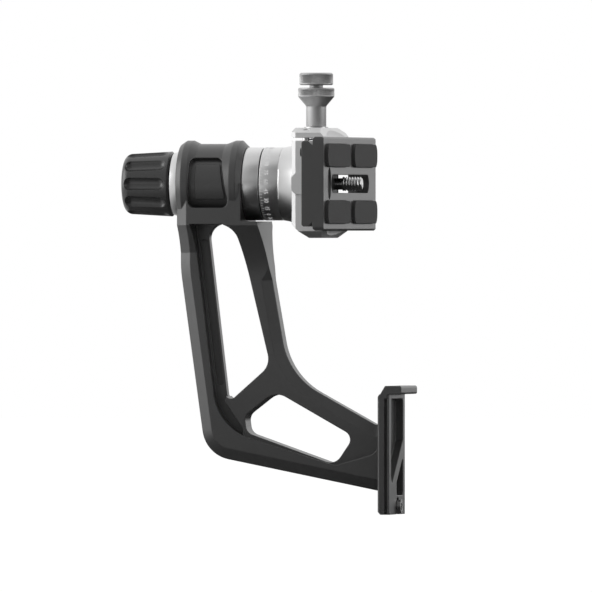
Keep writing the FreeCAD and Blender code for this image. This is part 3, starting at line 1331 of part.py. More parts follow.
PIECES = {
    "offset_arm": offset_arm,
    "foot_stop_screw": foot_stop_screw,
    "knob_side_collar": knob_side_collar,
    "bearing_cap": bearing_cap,
    "friction_washer": friction_washer,
    "left_bearing_outer_ring": lambda: bearing_outer_ring(LEFT_BEARING_X),
    "right_bearing_outer_ring": lambda: bearing_outer_ring(RIGHT_BEARING_X),
    "left_bearing_balls": lambda: bearing_balls(LEFT_BEARING_X),
    "right_bearing_balls": lambda: bearing_balls(RIGHT_BEARING_X),
    "left_bearing_inner_ring": lambda: bearing_inner_ring(LEFT_BEARING_X),
    "right_bearing_inner_ring": lambda: bearing_inner_ring(RIGHT_BEARING_X),
    "axle_spacer": axle_spacer,
    "tilt_axle": tilt_axle,
    "thrust_sleeve": thrust_sleeve,
    "thrust_washer": thrust_washer,
    "lock_knob": lock_knob,
    "lock_knob_insert": lock_knob_insert,
    "lock_knob_cap": lock_knob_cap,
    "scale_ring": scale_ring,
    "flared_hub": flared_hub,
    "hub_centre_screw": hub_centre_screw,
    "hub_screws": hub_screws,
    "clamp_base": clamp_base,
    "index_tab": index_tab,
    "jaw_guide_pins": jaw_guide_pins,
    "jaw_springs": jaw_springs,
    "clamp_jaw": clamp_jaw,
    "clamp_knob": clamp_knob,
    "draw_screw": draw_screw,
    "knob_washer": knob_washer,
    "quick_plate": quick_plate,
    "plate_pads": plate_pads,
    "plate_stop_screws": plate_stop_screws,
    "screw_washer": screw_washer,
    "camera_screw": camera_screw,
}

os.makedirs("parts", exist_ok=True)
for node, make in PIECES.items():
    shape = make()
    shape.exportStep(f"parts/{node}.step")
    state = "valid" if shape.isValid() else "INVALID"
    print(node, len(shape.Solids), "solids", round(shape.Volume, 1), "mm3", state)
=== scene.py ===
# %% [markdown]
# A side-mount gimbal head: a black machined arm, bright turned rings, a screw clamp and a long
# black plate with rubber pads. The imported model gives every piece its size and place, in metres.
# Here each one gets its finish, and the ones with fine relief get a finer surface.

# %% Load the frame
import json
import math

import bmesh
import bpy
import numpy as np
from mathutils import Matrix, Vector


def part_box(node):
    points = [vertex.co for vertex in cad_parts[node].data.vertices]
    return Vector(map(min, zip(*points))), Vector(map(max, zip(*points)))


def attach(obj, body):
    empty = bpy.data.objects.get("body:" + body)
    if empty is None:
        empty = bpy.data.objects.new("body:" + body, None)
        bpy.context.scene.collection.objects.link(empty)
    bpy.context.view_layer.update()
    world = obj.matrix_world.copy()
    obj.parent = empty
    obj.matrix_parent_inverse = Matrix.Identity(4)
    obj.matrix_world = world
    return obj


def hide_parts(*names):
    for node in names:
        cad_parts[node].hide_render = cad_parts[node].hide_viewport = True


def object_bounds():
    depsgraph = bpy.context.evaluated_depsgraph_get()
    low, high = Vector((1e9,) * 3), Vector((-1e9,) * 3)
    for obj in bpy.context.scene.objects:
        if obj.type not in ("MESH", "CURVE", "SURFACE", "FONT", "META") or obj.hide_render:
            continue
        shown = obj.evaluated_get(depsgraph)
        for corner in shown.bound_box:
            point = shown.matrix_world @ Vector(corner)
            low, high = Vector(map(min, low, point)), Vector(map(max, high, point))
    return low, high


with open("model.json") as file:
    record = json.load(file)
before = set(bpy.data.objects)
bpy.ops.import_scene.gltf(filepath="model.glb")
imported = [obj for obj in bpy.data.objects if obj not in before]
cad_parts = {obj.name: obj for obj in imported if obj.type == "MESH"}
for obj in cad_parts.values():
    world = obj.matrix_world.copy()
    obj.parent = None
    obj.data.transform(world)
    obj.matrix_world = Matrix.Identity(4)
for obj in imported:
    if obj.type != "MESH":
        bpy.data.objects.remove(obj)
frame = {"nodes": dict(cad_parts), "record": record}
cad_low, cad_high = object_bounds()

MM = 0.001
AXIS_Z = (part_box("scale_ring")[0].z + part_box("scale_ring")[1].z) / 2
print("object spans", [round(side / MM, 1) for side in cad_high - cad_low], "mm")

# %% [markdown]
# The camera stands a little to the clamp's side of the front, at the height of the arm's middle,
# so far away that upright edges stay parallel. A long lens then fills the frame.

# %% Camera
IMAGE_WIDTH = 592
PIXELS_PER_METRE = 2241.0
VIEW_AZIMUTH = math.radians(11.0)
VIEW_DISTANCE = 10.0
VIEW_TARGET = Vector((-0.0459, 0.0, 0.0703))
EYE_HEIGHT = 0.1

camera = bpy.data.objects.new("view_camera", bpy.data.cameras.new("view_camera"))
bpy.context.scene.collection.objects.link(camera)
camera.location = VIEW_TARGET + VIEW_DISTANCE * Vector((math.sin(VIEW_AZIMUTH), -math.cos(VIEW_AZIMUTH), 0))
camera.location.z = EYE_HEIGHT
camera.rotation_mode = "QUATERNION"
camera.rotation_quaternion = (VIEW_TARGET - camera.location).to_track_quat("-Z", "Y")
camera.data.sensor_width = 36.0
camera.data.lens = camera.data.sensor_width * PIXELS_PER_METRE * VIEW_DISTANCE / IMAGE_WIDTH
camera.data.clip_start = 0.1
camera.data.clip_end = 50.0
bpy.context.scene.camera = camera
bpy.context.scene.view_settings.view_transform = "Standard"
print("lens", round(camera.data.lens, 1), "mm")

# %% [markdown]
# A material is a small sum: dark here, rougher there, a scratch along this way. Each of those
# is a node, and this class lets the sum be written as one, with plain + - * / on sockets.


# %% Shader maths
class Wire:
    """An output socket that maths can be written with."""

    def __init__(self, tree, socket=None):
        self.tree = tree
        self.socket = socket

    def make(self, kind, settings=None, values=None, output=0):
        """Adds one node: its settings first, then the values or links of its inputs."""
        node = self.tree.nodes.new(kind)
        for name, value in (settings or {}).items():
            setattr(node, name, value)
        for name, value in (values or {}).items():
            if isinstance(value, Wire):
                self.tree.links.new(value.socket, node.inputs[name])
            else:
                node.inputs[name].default_value = value
        return Wire(self.tree, node.outputs[output])

    def maths(self, operation, *values):
        return self.make("ShaderNodeMath", {"operation": operation}, dict(enumerate(values)))

    def __add__(self, other):
        return self.maths("ADD", self, other)

    def __sub__(self, other):
        return self.maths("SUBTRACT", self, other)

    def __mul__(self, other):
        return self.maths("MULTIPLY", self, other)

    def __pow__(self, other):
        return self.maths("POWER", self, other)

    def larger(self, other):
        return self.maths("MAXIMUM", self, other)

    def clamp(self):
        return self.make("ShaderNodeClamp", {}, {"Value": self})

    __radd__ = __add__
    __rmul__ = __mul__


def grey(level):
    """Colour of one level in all three channels."""
    return (level, level, level, 1.0)


def split(wire):
    """The three parts of a vector."""
    node = wire.make("ShaderNodeSeparateXYZ", {}, {0: wire}).socket.node
    return [Wire(wire.tree, output) for output in node.outputs]


def blend_colours(factor, first, second):
    """First colour where the factor is 0, second where it is 1."""
    return factor.make("ShaderNodeMix", {"data_type": "RGBA"}, {0: factor, 6: first, 7: second}, output=2)


# %% [markdown]
# Every new surface below is a grid: a row of profile points, repeated in columns round an axis.
# Numpy works out all the points at once, and the mesh is filled from the arrays.


# %% Grid surfaces
def mesh_from(name, points, faces):
    """Object whose mesh has these points and faces, smooth but for its sharp edges."""
    mesh = bpy.data.meshes.new(name)
    mesh.from_pydata(points, [], faces)
    work = bmesh.new()
    work.from_mesh(mesh)
    bmesh.ops.remove_doubles(work, verts=work.verts, dist=1e-7)
    bmesh.ops.delete(work, geom=[edge for edge in work.edges if not edge.link_faces], context="EDGES")
    bmesh.ops.recalc_face_normals(work, faces=work.faces)
    work.to_mesh(mesh)
    work.free()
    mesh.shade_smooth()
    mesh.set_sharp_from_angle(angle=math.radians(35))
    piece = bpy.data.objects.new(name, mesh)
    bpy.context.scene.collection.objects.link(piece)
    return piece


def rounded_profile(corners, steps=4):
    """Closed profile in millimetres whose corners (along, radius, rounding) become small arcs.

    With u and w the unit vectors from a corner to its neighbours and h half the angle between
    them, the arc starts rounding / tan(h) along u and ends as far along w. Its centre stands
    rounding / sin(h) along their bisector, and its points turn evenly from one end to the other.
    """
    rows = np.array(corners, dtype=float)
    points = rows[:, :2]
    ways = np.roll(points, -1, axis=0) - points
    ways /= np.linalg.norm(ways, axis=1, keepdims=True)
    stretches = []
    for here, back, ahead, rounding in zip(points, -np.roll(ways, 1, axis=0), ways, rows[:, 2]):
        if rounding == 0:
            stretches.append(here[None])
            continue
        half = np.arccos(np.clip(back @ ahead, -1, 1)) / 2
        reach = rounding / np.tan(half)
        centre = here + (back + ahead) / np.linalg.norm(back + ahead) * rounding / np.sin(half)
        first, last = here + back * reach - centre, here + ahead * reach - centre
        turn = np.pi - 2 * half
        part = np.linspace(0, 1, steps + 1)[:, None]
        arc = np.sin((1 - part) * turn) * first + np.sin(part * turn) * last
        stretches.append(centre + arc / np.sin(turn))
    return np.concatenate(stretches)


def lathe(name, profile, columns, centre=(0.0, 0.0), upright=False, relief=None):
    """Surface of a closed profile (along, radius) turned round an axis.

    The point of profile point (a, r) at turn t stands a along the axis and r * cos(t), r * sin(t)
    across it, less what relief(t, a) takes off the radius. Millimetres go in, metres come out.
    """
    along, radius = profile[:, 0][None, :], profile[:, 1][None, :]
    turn = np.linspace(0, 2 * np.pi, columns, endpoint=False)[:, None]
    if relief is not None:
        radius = radius - relief(turn, along)
    first, second = radius * np.cos(turn) + centre[0], radius * np.sin(turn) + centre[1]
    along = np.broadcast_to(along, first.shape)
    parts = (first, second, along) if upright else (along, first, second)
    points = np.stack(parts, axis=-1).reshape(-1, 3) * MM
    count = profile.shape[0]
    column, row = np.meshgrid(np.arange(columns), np.arange(count), indexing="ij")
    next_column, next_row = (column + 1) % columns, (row + 1) % count
    quads = np.stack([
        column * count + row, next_column * count + row,
        next_column * count + next_row, column * count + next_row,
    ], axis=-1).reshape(-1, 4)
    return mesh_from(name, points.tolist(), quads.tolist())


def stands_for(piece, node, body):
    """Puts a finer piece in the place of a CAD node."""
    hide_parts(node)
    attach(piece, body)
    print(piece.name, len(piece.data.polygons), "faces")


# %% [markdown]
# The object stands in a white studio: the background is plain white, and so is what metal
# mirrors from behind and above. Where the camera stands a photographer hangs grey cloth, and a
# dark table stands below, so bright rings get their dark lower halves and black faces stay black.

# %% Studio
TENT_RADIUS = 3.0
TENT_AZIMUTHS = [-180, -115, -60, -32, -21, 20, 62, 95, 140, 180]
TENT_SIDES = [1.0, 1.0, 0.95, 0.75, 0.2, 0.17, 0.17, 0.35, 1.0, 1.0]
TENT_HEIGHTS = [-90, -50, -12, 0, 18, 42, 58, 66, 90]
TENT_BANDS = [0.08, 0.2, 0.6, 1.0, 2.1, 1.5, 1.0, 1.1, 2.0]
TENT_TOP = 0.7
TABLE_PLACES = [-0.26, -0.15, 1.0]
TABLE_LEVELS = [0.75, 0.03, 0.03]
TABLE_REACH = 2.5
SOFTBOXES = {
    "left_softbox": ((-1.7, -0.4, 0.4), 1.5, 13.0, True),
    "right_softbox": ((1.8, -0.1, 0.5), 1.4, 8.0, True),
    "top_softbox": ((-0.1, -0.2, 1.8), 1.4, 12.0, False),
}


def background_rays(start):
    """1 on rays from the camera, from a mirror-like surface or through glass, else 0."""
    rays = start.make("ShaderNodeLightPath").socket.node
    names = ("Is Camera Ray", "Is Glossy Ray", "Is Transmission Ray")
    kinds = [Wire(start.tree, rays.outputs[name]) for name in names]
    return kinds[0].larger(kinds[1]).larger(kinds[2])


def close_tree(shown, kind):
    """Links the finished shader to the tree's output node."""
    out = shown.tree.nodes.new(kind)
    shown.tree.links.new(shown.socket, out.inputs["Surface"])


def studio_world():
    """World that is white to look at and a soft gradient, darker in front, for matt surfaces."""
    world = bpy.data.worlds.new("studio")
    world.use_nodes = True
    tree = world.node_tree
    tree.nodes.clear()
    start = Wire(tree)
    depth, height = split(start.make("ShaderNodeTexCoord", {}, {}, output="Generated"))[1:]
    behind = (depth * 0.5 + 0.5).clamp()
    above = (height * 0.5 + 0.5).clamp()
    soft = start.make("ShaderNodeBackground", {}, {"Strength": 0.32 + behind * 0.2 + above * 0.35})
    white = start.make("ShaderNodeBackground", {}, {"Color": grey(1.0), "Strength": 1.0})
    shown = start.make("ShaderNodeMixShader", {}, {0: background_rays(start), 1: soft, 2: white})
    close_tree(shown, "ShaderNodeOutputWorld")
    bpy.context.scene.world = world


def only_in_reflections(piece):
    """Leaves a card of the studio visible to mirror-like rays alone."""
    piece.visible_camera = False
    piece.visible_diffuse = False
    piece.visible_transmission = False
    piece.visible_shadow = False


def glowing(name):
    """Material that shines with the level stored at each point."""
    material = bpy.data.materials.new(name)
    material.use_nodes = True
    tree = material.node_tree
    tree.nodes.clear()
    start = Wire(tree)
    values = {"Color": start.make("ShaderNodeAttribute", {"attribute_name": "shade"}), "Strength": 1.0}
    close_tree(start.make("ShaderNodeEmission", {}, values), "ShaderNodeOutputMaterial")
    return material


def shaded_sheet(name, points, level):
    """Grid of points, each with its own level of grey, for reflections alone."""
    columns, rows = level.shape
    column, row = np.meshgrid(np.arange(columns - 1), np.arange(rows - 1), indexing="ij")
    corner = column * rows + row
    quads = np.stack([corner, corner + rows, corner + rows + 1, corner + 1], axis=-1).reshape(-1, 4)
    mesh = bpy.data.meshes.new(name)
    mesh.from_pydata(points.reshape(-1, 3).tolist(), [], quads.tolist())
    shades = mesh.attributes.new("shade", "FLOAT_COLOR", "POINT")
    shades.data.foreach_set("color", np.repeat(level.reshape(-1, 1), 4, axis=1).ravel())
    mesh.materials.append(glowing(name))
    sheet = bpy.data.objects.new(name, mesh)
    bpy.context.scene.collection.objects.link(sheet)
    only_in_reflections(sheet)


def light_tent():
    """Cloth on a sphere: a point at azimuth a and height h stands at
    radius * (cos h * sin a, -cos h * cos a, sin h) and shines with its own level of grey."""
    azimuth, height = np.meshgrid(np.linspace(-180, 180, 181), np.linspace(-89, 89, 60), indexing="ij")
    side = np.interp(azimuth, TENT_AZIMUTHS, TENT_SIDES)
    front = np.clip((0.75 - side) / 0.6, 0, 1)
    band = 1 + (np.interp(height, TENT_HEIGHTS, TENT_BANDS) - 1) * front
    top = np.clip((height - 50) / 30, 0, 1)
    level = side * band * (1 - top) + TENT_TOP * top
    a, h = np.radians(azimuth), np.radians(height)
    points = np.stack([np.cos(h) * np.sin(a), -np.cos(h) * np.cos(a), np.sin(h)], axis=-1) * TENT_RADIUS
    shaded_sheet("light_tent", points + np.array(VIEW_TARGET), level)


def dark_table():
    """Level sheet just above the floor: dark in the middle, and light from the left edge on."""
    places = np.array([-TABLE_REACH] + TABLE_PLACES + [TABLE_REACH])
    across, depth = np.meshgrid(places, np.array([-TABLE_REACH, TABLE_REACH]), indexing="ij")
    level = np.interp(across, TABLE_PLACES, TABLE_LEVELS)
    shaded_sheet("dark_table", np.stack([across, depth, across * 0 + cad_low.z - 0.0003], axis=-1), level)


def softbox(name, place, size, power, mirrored):
    """Large square lamp that faces the middle of the object."""
    lamp = bpy.data.lights.new(name, "AREA")
    lamp.shape = "SQUARE"
    lamp.size = size
    lamp.energy = power
    holder = bpy.data.objects.new(name, lamp)
    bpy.context.scene.collection.objects.link(holder)
    holder.location = place
    holder.rotation_mode = "QUATERNION"
    holder.rotation_quaternion = (VIEW_TARGET - Vector(place)).to_track_quat("-Z", "Y")
    holder.visible_camera = False
    holder.visible_glossy = mirrored


studio_world()
light_tent()
for name, settings in SOFTBOXES.items():
    softbox(name, *settings)
dark_table()
print("lamps", list(SOFTBOXES))


# %% Floor
FLOOR_WHITE = 0.85
FLOOR_GLOW = 0.93
GLOW_STRENGTH = 1.06
FLOOR_REACH = 5.0
FLOOR_DROP = 0.0005


def floor_paint():
    """Pale paint that glows white to the camera, with a faint shadow left in it."""
    material = bpy.data.materials.new("floor_white")
    material.use_nodes = True
    tree = material.node_tree
    tree.nodes.clear()
    start = Wire(tree)
    paint = start.make("ShaderNodeBsdfDiffuse", {}, {"Color": grey(FLOOR_WHITE)})
    glow = start.make("ShaderNodeEmission", {}, {"Color": grey(1.0), "Strength": GLOW_STRENGTH})
    glowing_part = background_rays(start) * FLOOR_GLOW
    shown = start.make("ShaderNodeMixShader", {}, {0: glowing_part, 1: paint, 2: glow})
    close_tree(shown, "ShaderNodeOutputMaterial")
    return material


floor_mesh = bpy.data.meshes.new("floor")
floor_signs = ((-1, -1), (1, -1), (1, 1), (-1, 1))
floor_corners = [(x * FLOOR_REACH, y * FLOOR_REACH, cad_low.z - FLOOR_DROP) for x, y in floor_signs]
floor_mesh.from_pydata(floor_corners, [], [(0, 1, 2, 3)])
floor_mesh.materials.append(floor_paint())
floor = bpy.data.objects.new("floor", floor_mesh)
bpy.context.scene.collection.objects.link(floor)

# %% [markdown]
# Every finish starts from the same shader with a texture place in the object's own metres.


# %% Finish helpers
def new_finish(name, base, roughness, metallic=0.0, specular=0.5):
    """Material with a Principled shader, and the wire that its maths starts from."""
    material = bpy.data.materials.new(name)
    material.use_nodes = True
    shader = material.node_tree.nodes["Principled BSDF"]
    shader.inputs["Base Color"].default_value = grey(base) if isinstance(base, float) else (*base, 1.0)
    shader.inputs["Roughness"].default_value = roughness
    shader.inputs["Metallic"].default_value = metallic
    shader.inputs["Specular IOR Level"].default_value = specular
    start = Wire(material.node_tree)
    place = start.make("ShaderNodeTexCoord", {}, {}, output="Object")
    return material, shader, place


def feed(shader, name, wire):
    """Links a wire to one of the shader's inputs."""
    shader.id_data.links.new(wire.socket, shader.inputs[name])


def noise(place, scale, detail=2.0, rough=0.5):
    """Noise with grains of about 1 / scale metres, from 0 to 1."""
    values = {"Vector": place, "Scale": scale, "Detail": detail, "Roughness": rough}
    return place.make("ShaderNodeTexNoise", {}, values)


def bump(height, depth, strength=1.0, under=None):
    """Normal of a relief of that depth in metres."""
    values = {"Height": height, "Distance": depth, "Strength": strength}
    if under is not None:
        values["Normal"] = under
    return height.make("ShaderNodeBump", {}, values)


def edge_normal(place, radius):
    """Normal that rounds every sharp edge by a small radius."""
    return place.make("ShaderNodeBevel", {"samples": 6}, {"Radius": radius})


# %% [markdown]
# The arm and the plate are aluminium, blasted with fine beads and then anodised black. The
# blasting leaves pits of a tenth of a millimetre, which spread the highlights along the edges.


# %% Black finishes
def anodised_black(name, base=0.032, roughness=0.36, edge=0.0006, specular=0.9):
    """Bead-blasted black anodising: fine pits, slightly uneven sheen, the strong gloss of oxide."""
    material, shader, place = new_finish(name, base, roughness, specular=specular)
    cloud = noise(place, 60.0, 3.0)
    grain = noise(place, 5200.0, 2.0)
    feed(shader, "Base Color", blend_colours(cloud, grey(base * 0.85), grey(base * 1.15)))
    feed(shader, "Roughness", roughness - 0.05 + grain * 0.1)
    feed(shader, "Normal", bump(grain, 0.00003, 0.4, edge_normal(place, edge)))
    return material


def pad_rubber(name, base=0.03, roughness=0.7):
    """Matt rubber with a fine moulded texture."""
    material, shader, place = new_finish(name, base, roughness, specular=0.3)
    grain = noise(place, 2600.0, 3.0)
    feed(shader, "Base Color", blend_colours(grain, grey(base * 0.8), grey(base * 1.25)))
    feed(shader, "Normal", bump(grain, 0.00006, 0.6, edge_normal(place, 0.0005)))
    return material


# %% [markdown]
# The rings are turned, so their fine lines run round the tilt axis. The clamp is milled and
# blasted, which makes it softer and a little darker. Noise on the distance along the axis and
# from it draws the turned lines: it changes across them and stays the same along them.


# %% Bright finishes
BED_DEPTH = -0.0345
BED_LENGTH = 0.0298
BED_HEIGHT = 0.0155
CLAMP_LEVEL = 0.78
# Base colour of the painted shade in the clamp's bed under the plate.
BED_SHADE_LEVEL = 0.04


def turned_aluminium(name, base=0.72, roughness=0.3):
    """Bright turned aluminium: fine rings about the tilt axis."""
    material, shader, place = new_finish(name, base, roughness, metallic=1.0)
    across, depth, height = split(place)
    radius = (depth ** 2.0 + (height - AXIS_Z) ** 2.0) ** 0.5
    rings = place.make("ShaderNodeCombineXYZ", {}, {0: across, 1: radius, 2: 0.0})
    lines = noise(rings, 3200.0, 2.0, 0.6)
    feed(shader, "Roughness", roughness - 0.05 + lines * 0.1)
    feed(shader, "Normal", bump(lines, 0.000012, 0.3))
    return material


def blasted_aluminium(name, base=CLAMP_LEVEL, roughness=0.6, edge=0.0003):
    """Clear-anodised aluminium with a fine blasted grain."""
    material, shader, place = new_finish(name, base, roughness, metallic=1.0)
    grain = noise(place, 4500.0, 2.0)
    cloud = noise(place, 90.0, 2.0)
    feed(shader, "Roughness", roughness - 0.05 + grain * 0.06 + cloud * 0.04)
    feed(shader, "Normal", bump(grain, 0.00002, 0.4, edge_normal(place, edge)))
    return material


def clamp_aluminium(name):
    """The clamp's finish, with painted shade: the base colour of its bed, deep under the plate, is dark
    where shadow falls.
    """
    material = blasted_aluminium(name)
    shader = material.node_tree.nodes["Principled BSDF"]
    place = Wire(material.node_tree).make("ShaderNodeTexCoord", {}, {}, output="Object")
    across, depth, height = split(place)
    past_bed = across.maths("GREATER_THAN", across, BED_DEPTH)
    in_length = depth.maths("LESS_THAN", depth * depth, BED_LENGTH ** 2)
    in_height = height.maths("LESS_THAN", (height - AXIS_Z) ** 2.0, BED_HEIGHT ** 2)
    # Painted shade: the bed under the plate gets a dark base colour that stands in for the shadow there.
    bed_shade_mask = past_bed * in_length * in_height
    feed(shader, "Base Color", blend_colours(bed_shade_mask, grey(CLAMP_LEVEL), grey(BED_SHADE_LEVEL)))
    return material


def plain_steel(name, base=0.6, roughness=0.22):
    """Machined steel with faint grain."""
    material, shader, place = new_finish(name, base, roughness, metallic=1.0)
    grain = noise(place, 3000.0, 2.0)
    feed(shader, "Roughness", roughness - 0.04 + grain * 0.08)
    feed(shader, "Normal", edge_normal(place, 0.00015))
    return material


def scale_paint(name, base=0.8, roughness=0.5):
    """White paint in the scale's numbers and lines, a little worn."""
    material, shader, place = new_finish(name, base, roughness)
    feed(shader, "Base Color", blend_colours(noise(place, 3000.0), grey(base * 0.85), grey(base)))
    return material


FINISHES = {
    "black_anodised": anodised_black("black_anodised"),
    "satin_aluminium": turned_aluminium("satin_aluminium"),
    "knurled_aluminium": blasted_aluminium("knurled_aluminium", base=0.5, roughness=0.5, edge=0.0001),
    "bright_steel": plain_steel("bright_steel"),
    "black_steel": plain_steel("black_steel", base=0.08, roughness=0.35),
    "bearing_steel": plain_steel("bearing_steel", base=0.6, roughness=0.12),
    "spring_steel": plain_steel("spring_steel", base=0.5, roughness=0.3),
    "dark_polymer": pad_rubber("dark_polymer", base=0.03, roughness=0.45),
    "pad_rubber": pad_rubber("pad_rubber"),
    "knob_black": anodised_black("knob_black", base=0.02, roughness=0.28, edge=0.0005),
    "insert_brass": plain_steel("insert_brass", base=(0.72, 0.5, 0.22), roughness=0.3),
    "clamp_aluminium": clamp_aluminium("clamp_aluminium"),
    "scale_paint": scale_paint("scale_paint"),
}
slot_of = {row["node"]: row["material_slot"] for row in frame["record"]["subparts"]}
for node, piece in frame["nodes"].items():
    piece.data.materials.clear()
    piece.data.materials.append(FINISHES[slot_of[node]])
for node in ("clamp_base", "clamp_jaw", "index_tab"):
    frame["nodes"][node].data.materials[0] = FINISHES["clamp_aluminium"]

# %% [markdown]
# The collar, the cap and the scale ring come off a lathe with their edges just broken, and that
# thin rounding is what catches the light beside the dark gaps. So each is turned again here.

# %% Turned rings
AXIS_MM = AXIS_Z / MM
EDGE = 0.25
RING_R = 16.3


def ring_ends(node):
    """Lowest and highest place of a piece along the tilt axis, in millimetres."""
    low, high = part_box(node)
    return low.x / MM, high.x / MM


def turned_ring(node, corners):
    """Ring about the tilt axis in the place of its CAD node."""
    piece = lathe(node + "_turned", rounded_profile(corners), 256, centre=(0.0, AXIS_MM))
    piece.data.materials.append(FINISHES["satin_aluminium"])
    stands_for(piece, node, body_of[node])


body_of = {node: body for body, nodes in frame["record"]["behaviour"]["bodies"].items() for node in nodes}
collar_left, spigot_end = ring_ends("knob_side_collar")
turned_ring("knob_side_collar", [
    (collar_left, 9.3, 0), (collar_left, 13.9, EDGE), (spigot_end - 1.3, 14.7, 0.15),
    (spigot_end - 1.3, 13.9, 0), (spigot_end, 13.9, 0), (spigot_end, 9.3, 0),
])
spigot_start, cap_right = ring_ends("bearing_cap")
turned_ring("bearing_cap", [
    (spigot_start, 7.9, 0), (spigot_start, 13.9, 0), (spigot_start + 1.3, 13.9, 0),
    (spigot_start + 1.3, RING_R, EDGE), (cap_right, RING_R, EDGE), (cap_right, 7.9, 0),
])
ring_left, ring_right = ring_ends("scale_ring")
turned_ring("scale_ring", [
    (ring_left, 12.55, 0), (ring_left, RING_R, EDGE), (ring_right, RING_R, 0.1), (ring_right, 12.55, 0),
])

# %% [markdown]
# The hub keeps its mesh with the screw holes, but the flare leaves the ring at a small angle, so
# that it mirrors the light on the left from its first millimetre. Its points move outwards.

# %% Flared hub
FLARE_LEFT = -51.3
FLARE_RIGHT = -42.9
FLARE_START_SLOPE = 0.14
FLARE_RISE = 2.1


def flared_hub():
    """Copy of the hub whose radius is R + slope * t + bend * t * t at t millimetres from the ring."""
    mesh = frame["nodes"]["flared_hub"].data.copy()
    work = bmesh.new()
    work.from_mesh(mesh)
    bmesh.ops.remove_doubles(work, verts=work.verts, dist=1e-6)
    cuts = np.linspace(FLARE_LEFT, FLARE_RIGHT, 13)[1:-1]
    for cut in cuts:
        everything = list(work.verts) + list(work.edges) + list(work.faces)
        bmesh.ops.bisect_plane(work, geom=everything, plane_co=(cut * MM, 0, 0), plane_no=(1, 0, 0))
    work.to_mesh(mesh)
    work.free()
    points = np.empty(len(mesh.vertices) * 3)
    mesh.vertices.foreach_get("co", points)
    points = points.reshape(-1, 3) / MM
    outward = points[:, 1:] - np.array([0.0, AXIS_MM])
    radius = np.linalg.norm(outward, axis=1)
    t = points[:, 0] - FLARE_LEFT
    length = FLARE_RIGHT - FLARE_LEFT
    bend = (FLARE_RISE - FLARE_START_SLOPE * length) / length ** 2
    goal = RING_R + FLARE_START_SLOPE * t + bend * t * t
    on_flare = (radius > 15.5) & (t > 0.01) & (t < length - 0.01)
    points[on_flare, 1:] = np.array([0.0, AXIS_MM]) + outward[on_flare] * (goal / radius)[on_flare, None]
    mesh.vertices.foreach_set("co", (points * MM).ravel())
    mesh.update()
    mesh.shade_smooth()
    mesh.set_sharp_from_angle(angle=math.radians(30))
    piece = bpy.data.objects.new("flared_hub_turned", mesh)
    bpy.context.scene.collection.objects.link(piece)
    stands_for(piece, "flared_hub", "tilt_head")


flared_hub()

# %% [markdown]
# The scale is painted round the ring: a line every 5 degrees, a longer one and a number every 15.
# The numbers are typed flat and then wrapped: a distance s along the edge becomes the angle s / R.

# %% Degree scale
SCALE_LIFT = 0.04
SCALE_STEP = 15
FRONT_ANGLE = 3.3
FRONT_NUMBER = 60
DIGIT_HEIGHT = 1.9
NUMBER_WIDTH = 3.3
LINE_START = 0.5
PAINT_THICKNESS = 0.00003


def wrapped(across, around, angle):
    """Points of a flat drawing on the ring: across stays along the axis, around turns by
    around / R below the angle, and both stand SCALE_LIFT above the surface."""
    turn = np.radians(angle) - around / RING_R
    outer = RING_R + SCALE_LIFT
    return np.stack([across, -outer * np.cos(turn), AXIS_MM + outer * np.sin(turn)], axis=-1) * MM


def typed_number(text):
    """Flat mesh of a number in millimetres, cut into narrow strips so that it can bend."""
    curve = bpy.data.curves.new("number", "FONT")
    curve.body = text
    curve.size = DIGIT_HEIGHT / 0.7
    curve.offset = 0.05
    curve.resolution_u = 3
    curve.align_x = "CENTER"
    typed = bpy.data.objects.new("number", curve)
    mesh = bpy.data.meshes.new_from_object(typed)
    work = bmesh.new()
    work.from_mesh(mesh)
    for cut in np.arange(-2.5, 2.6, 0.5):
        everything = list(work.verts) + list(work.edges) + list(work.faces)
        bmesh.ops.bisect_plane(work, geom=everything, plane_co=(cut, 0, 0), plane_no=(1, 0, 0))
    bmesh.ops.remove_doubles(work, verts=work.verts, dist=0.002)
    bmesh.ops.dissolve_degenerate(work, edges=work.edges, dist=0.002)
    work.to_mesh(mesh)
    work.free()
    points = np.empty(len(mesh.vertices) * 3)
    mesh.vertices.foreach_get("co", points)
    points = points.reshape(-1, 3)
    faces = [list(face.vertices) for face in mesh.polygons]
    bpy.data.objects.remove(typed)
    bpy.data.meshes.remove(mesh)
    return points, faces


def scale_marks():
    """Lines and numbers of the scale as one closed layer of paint."""
    clouds, faces, filled = [], [], 0
    for angle in range(0, 360, 5):
        length = 1.35 if angle % SCALE_STEP == 0 else 0.8
        across = ring_left + LINE_START + np.array([0, length, length, 0])
        around = np.array([-0.09, -0.09, 0.09, 0.09])
        clouds.append(wrapped(across, around, FRONT_ANGLE + angle))
        faces.append([filled + corner for corner in (0, 3, 2, 1)])
        filled += 4
    for angle in range(0, 360, SCALE_STEP):
        points, own_faces = typed_number(str((FRONT_NUMBER + angle) % 360))
        width = np.ptp(points[:, 0])
        squeeze = min(0.9, NUMBER_WIDTH / width)
        across = ring_left + LINE_START + 1.75 + points[:, 1]
        clouds.append(wrapped(across, points[:, 0] * squeeze, FRONT_ANGLE + angle))
        faces += [[filled + corner for corner in face] for face in own_faces]
        filled += len(points)
    mesh = bpy.data.meshes.new("scale_marks")
    mesh.from_pydata(np.concatenate(clouds).tolist(), [], faces)
    work = bmesh.new()
    work.from_mesh(mesh)
    bmesh.ops.remove_doubles(work, verts=work.verts, dist=1e-7)
    bmesh.ops.solidify(work, geom=list(work.faces), thickness=PAINT_THICKNESS)
    bmesh.ops.recalc_face_normals(work, faces=work.faces)
    work.to_mesh(mesh)
    work.free()
    mesh.materials.append(FINISHES["scale_paint"])
    marks = bpy.data.objects.new("scale_marks", mesh)
    bpy.context.scene.collection.objects.link(marks)
    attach(marks, "tilt_head")
    print("scale marks", len(mesh.polygons), "faces")


scale_marks()

# %% [markdown]
# The clamp knob is knurled so that fingers grip it: 88 straight teeth round each of its two
# tiers, which run out before the chamfers. The teeth are cut into the turned surface.

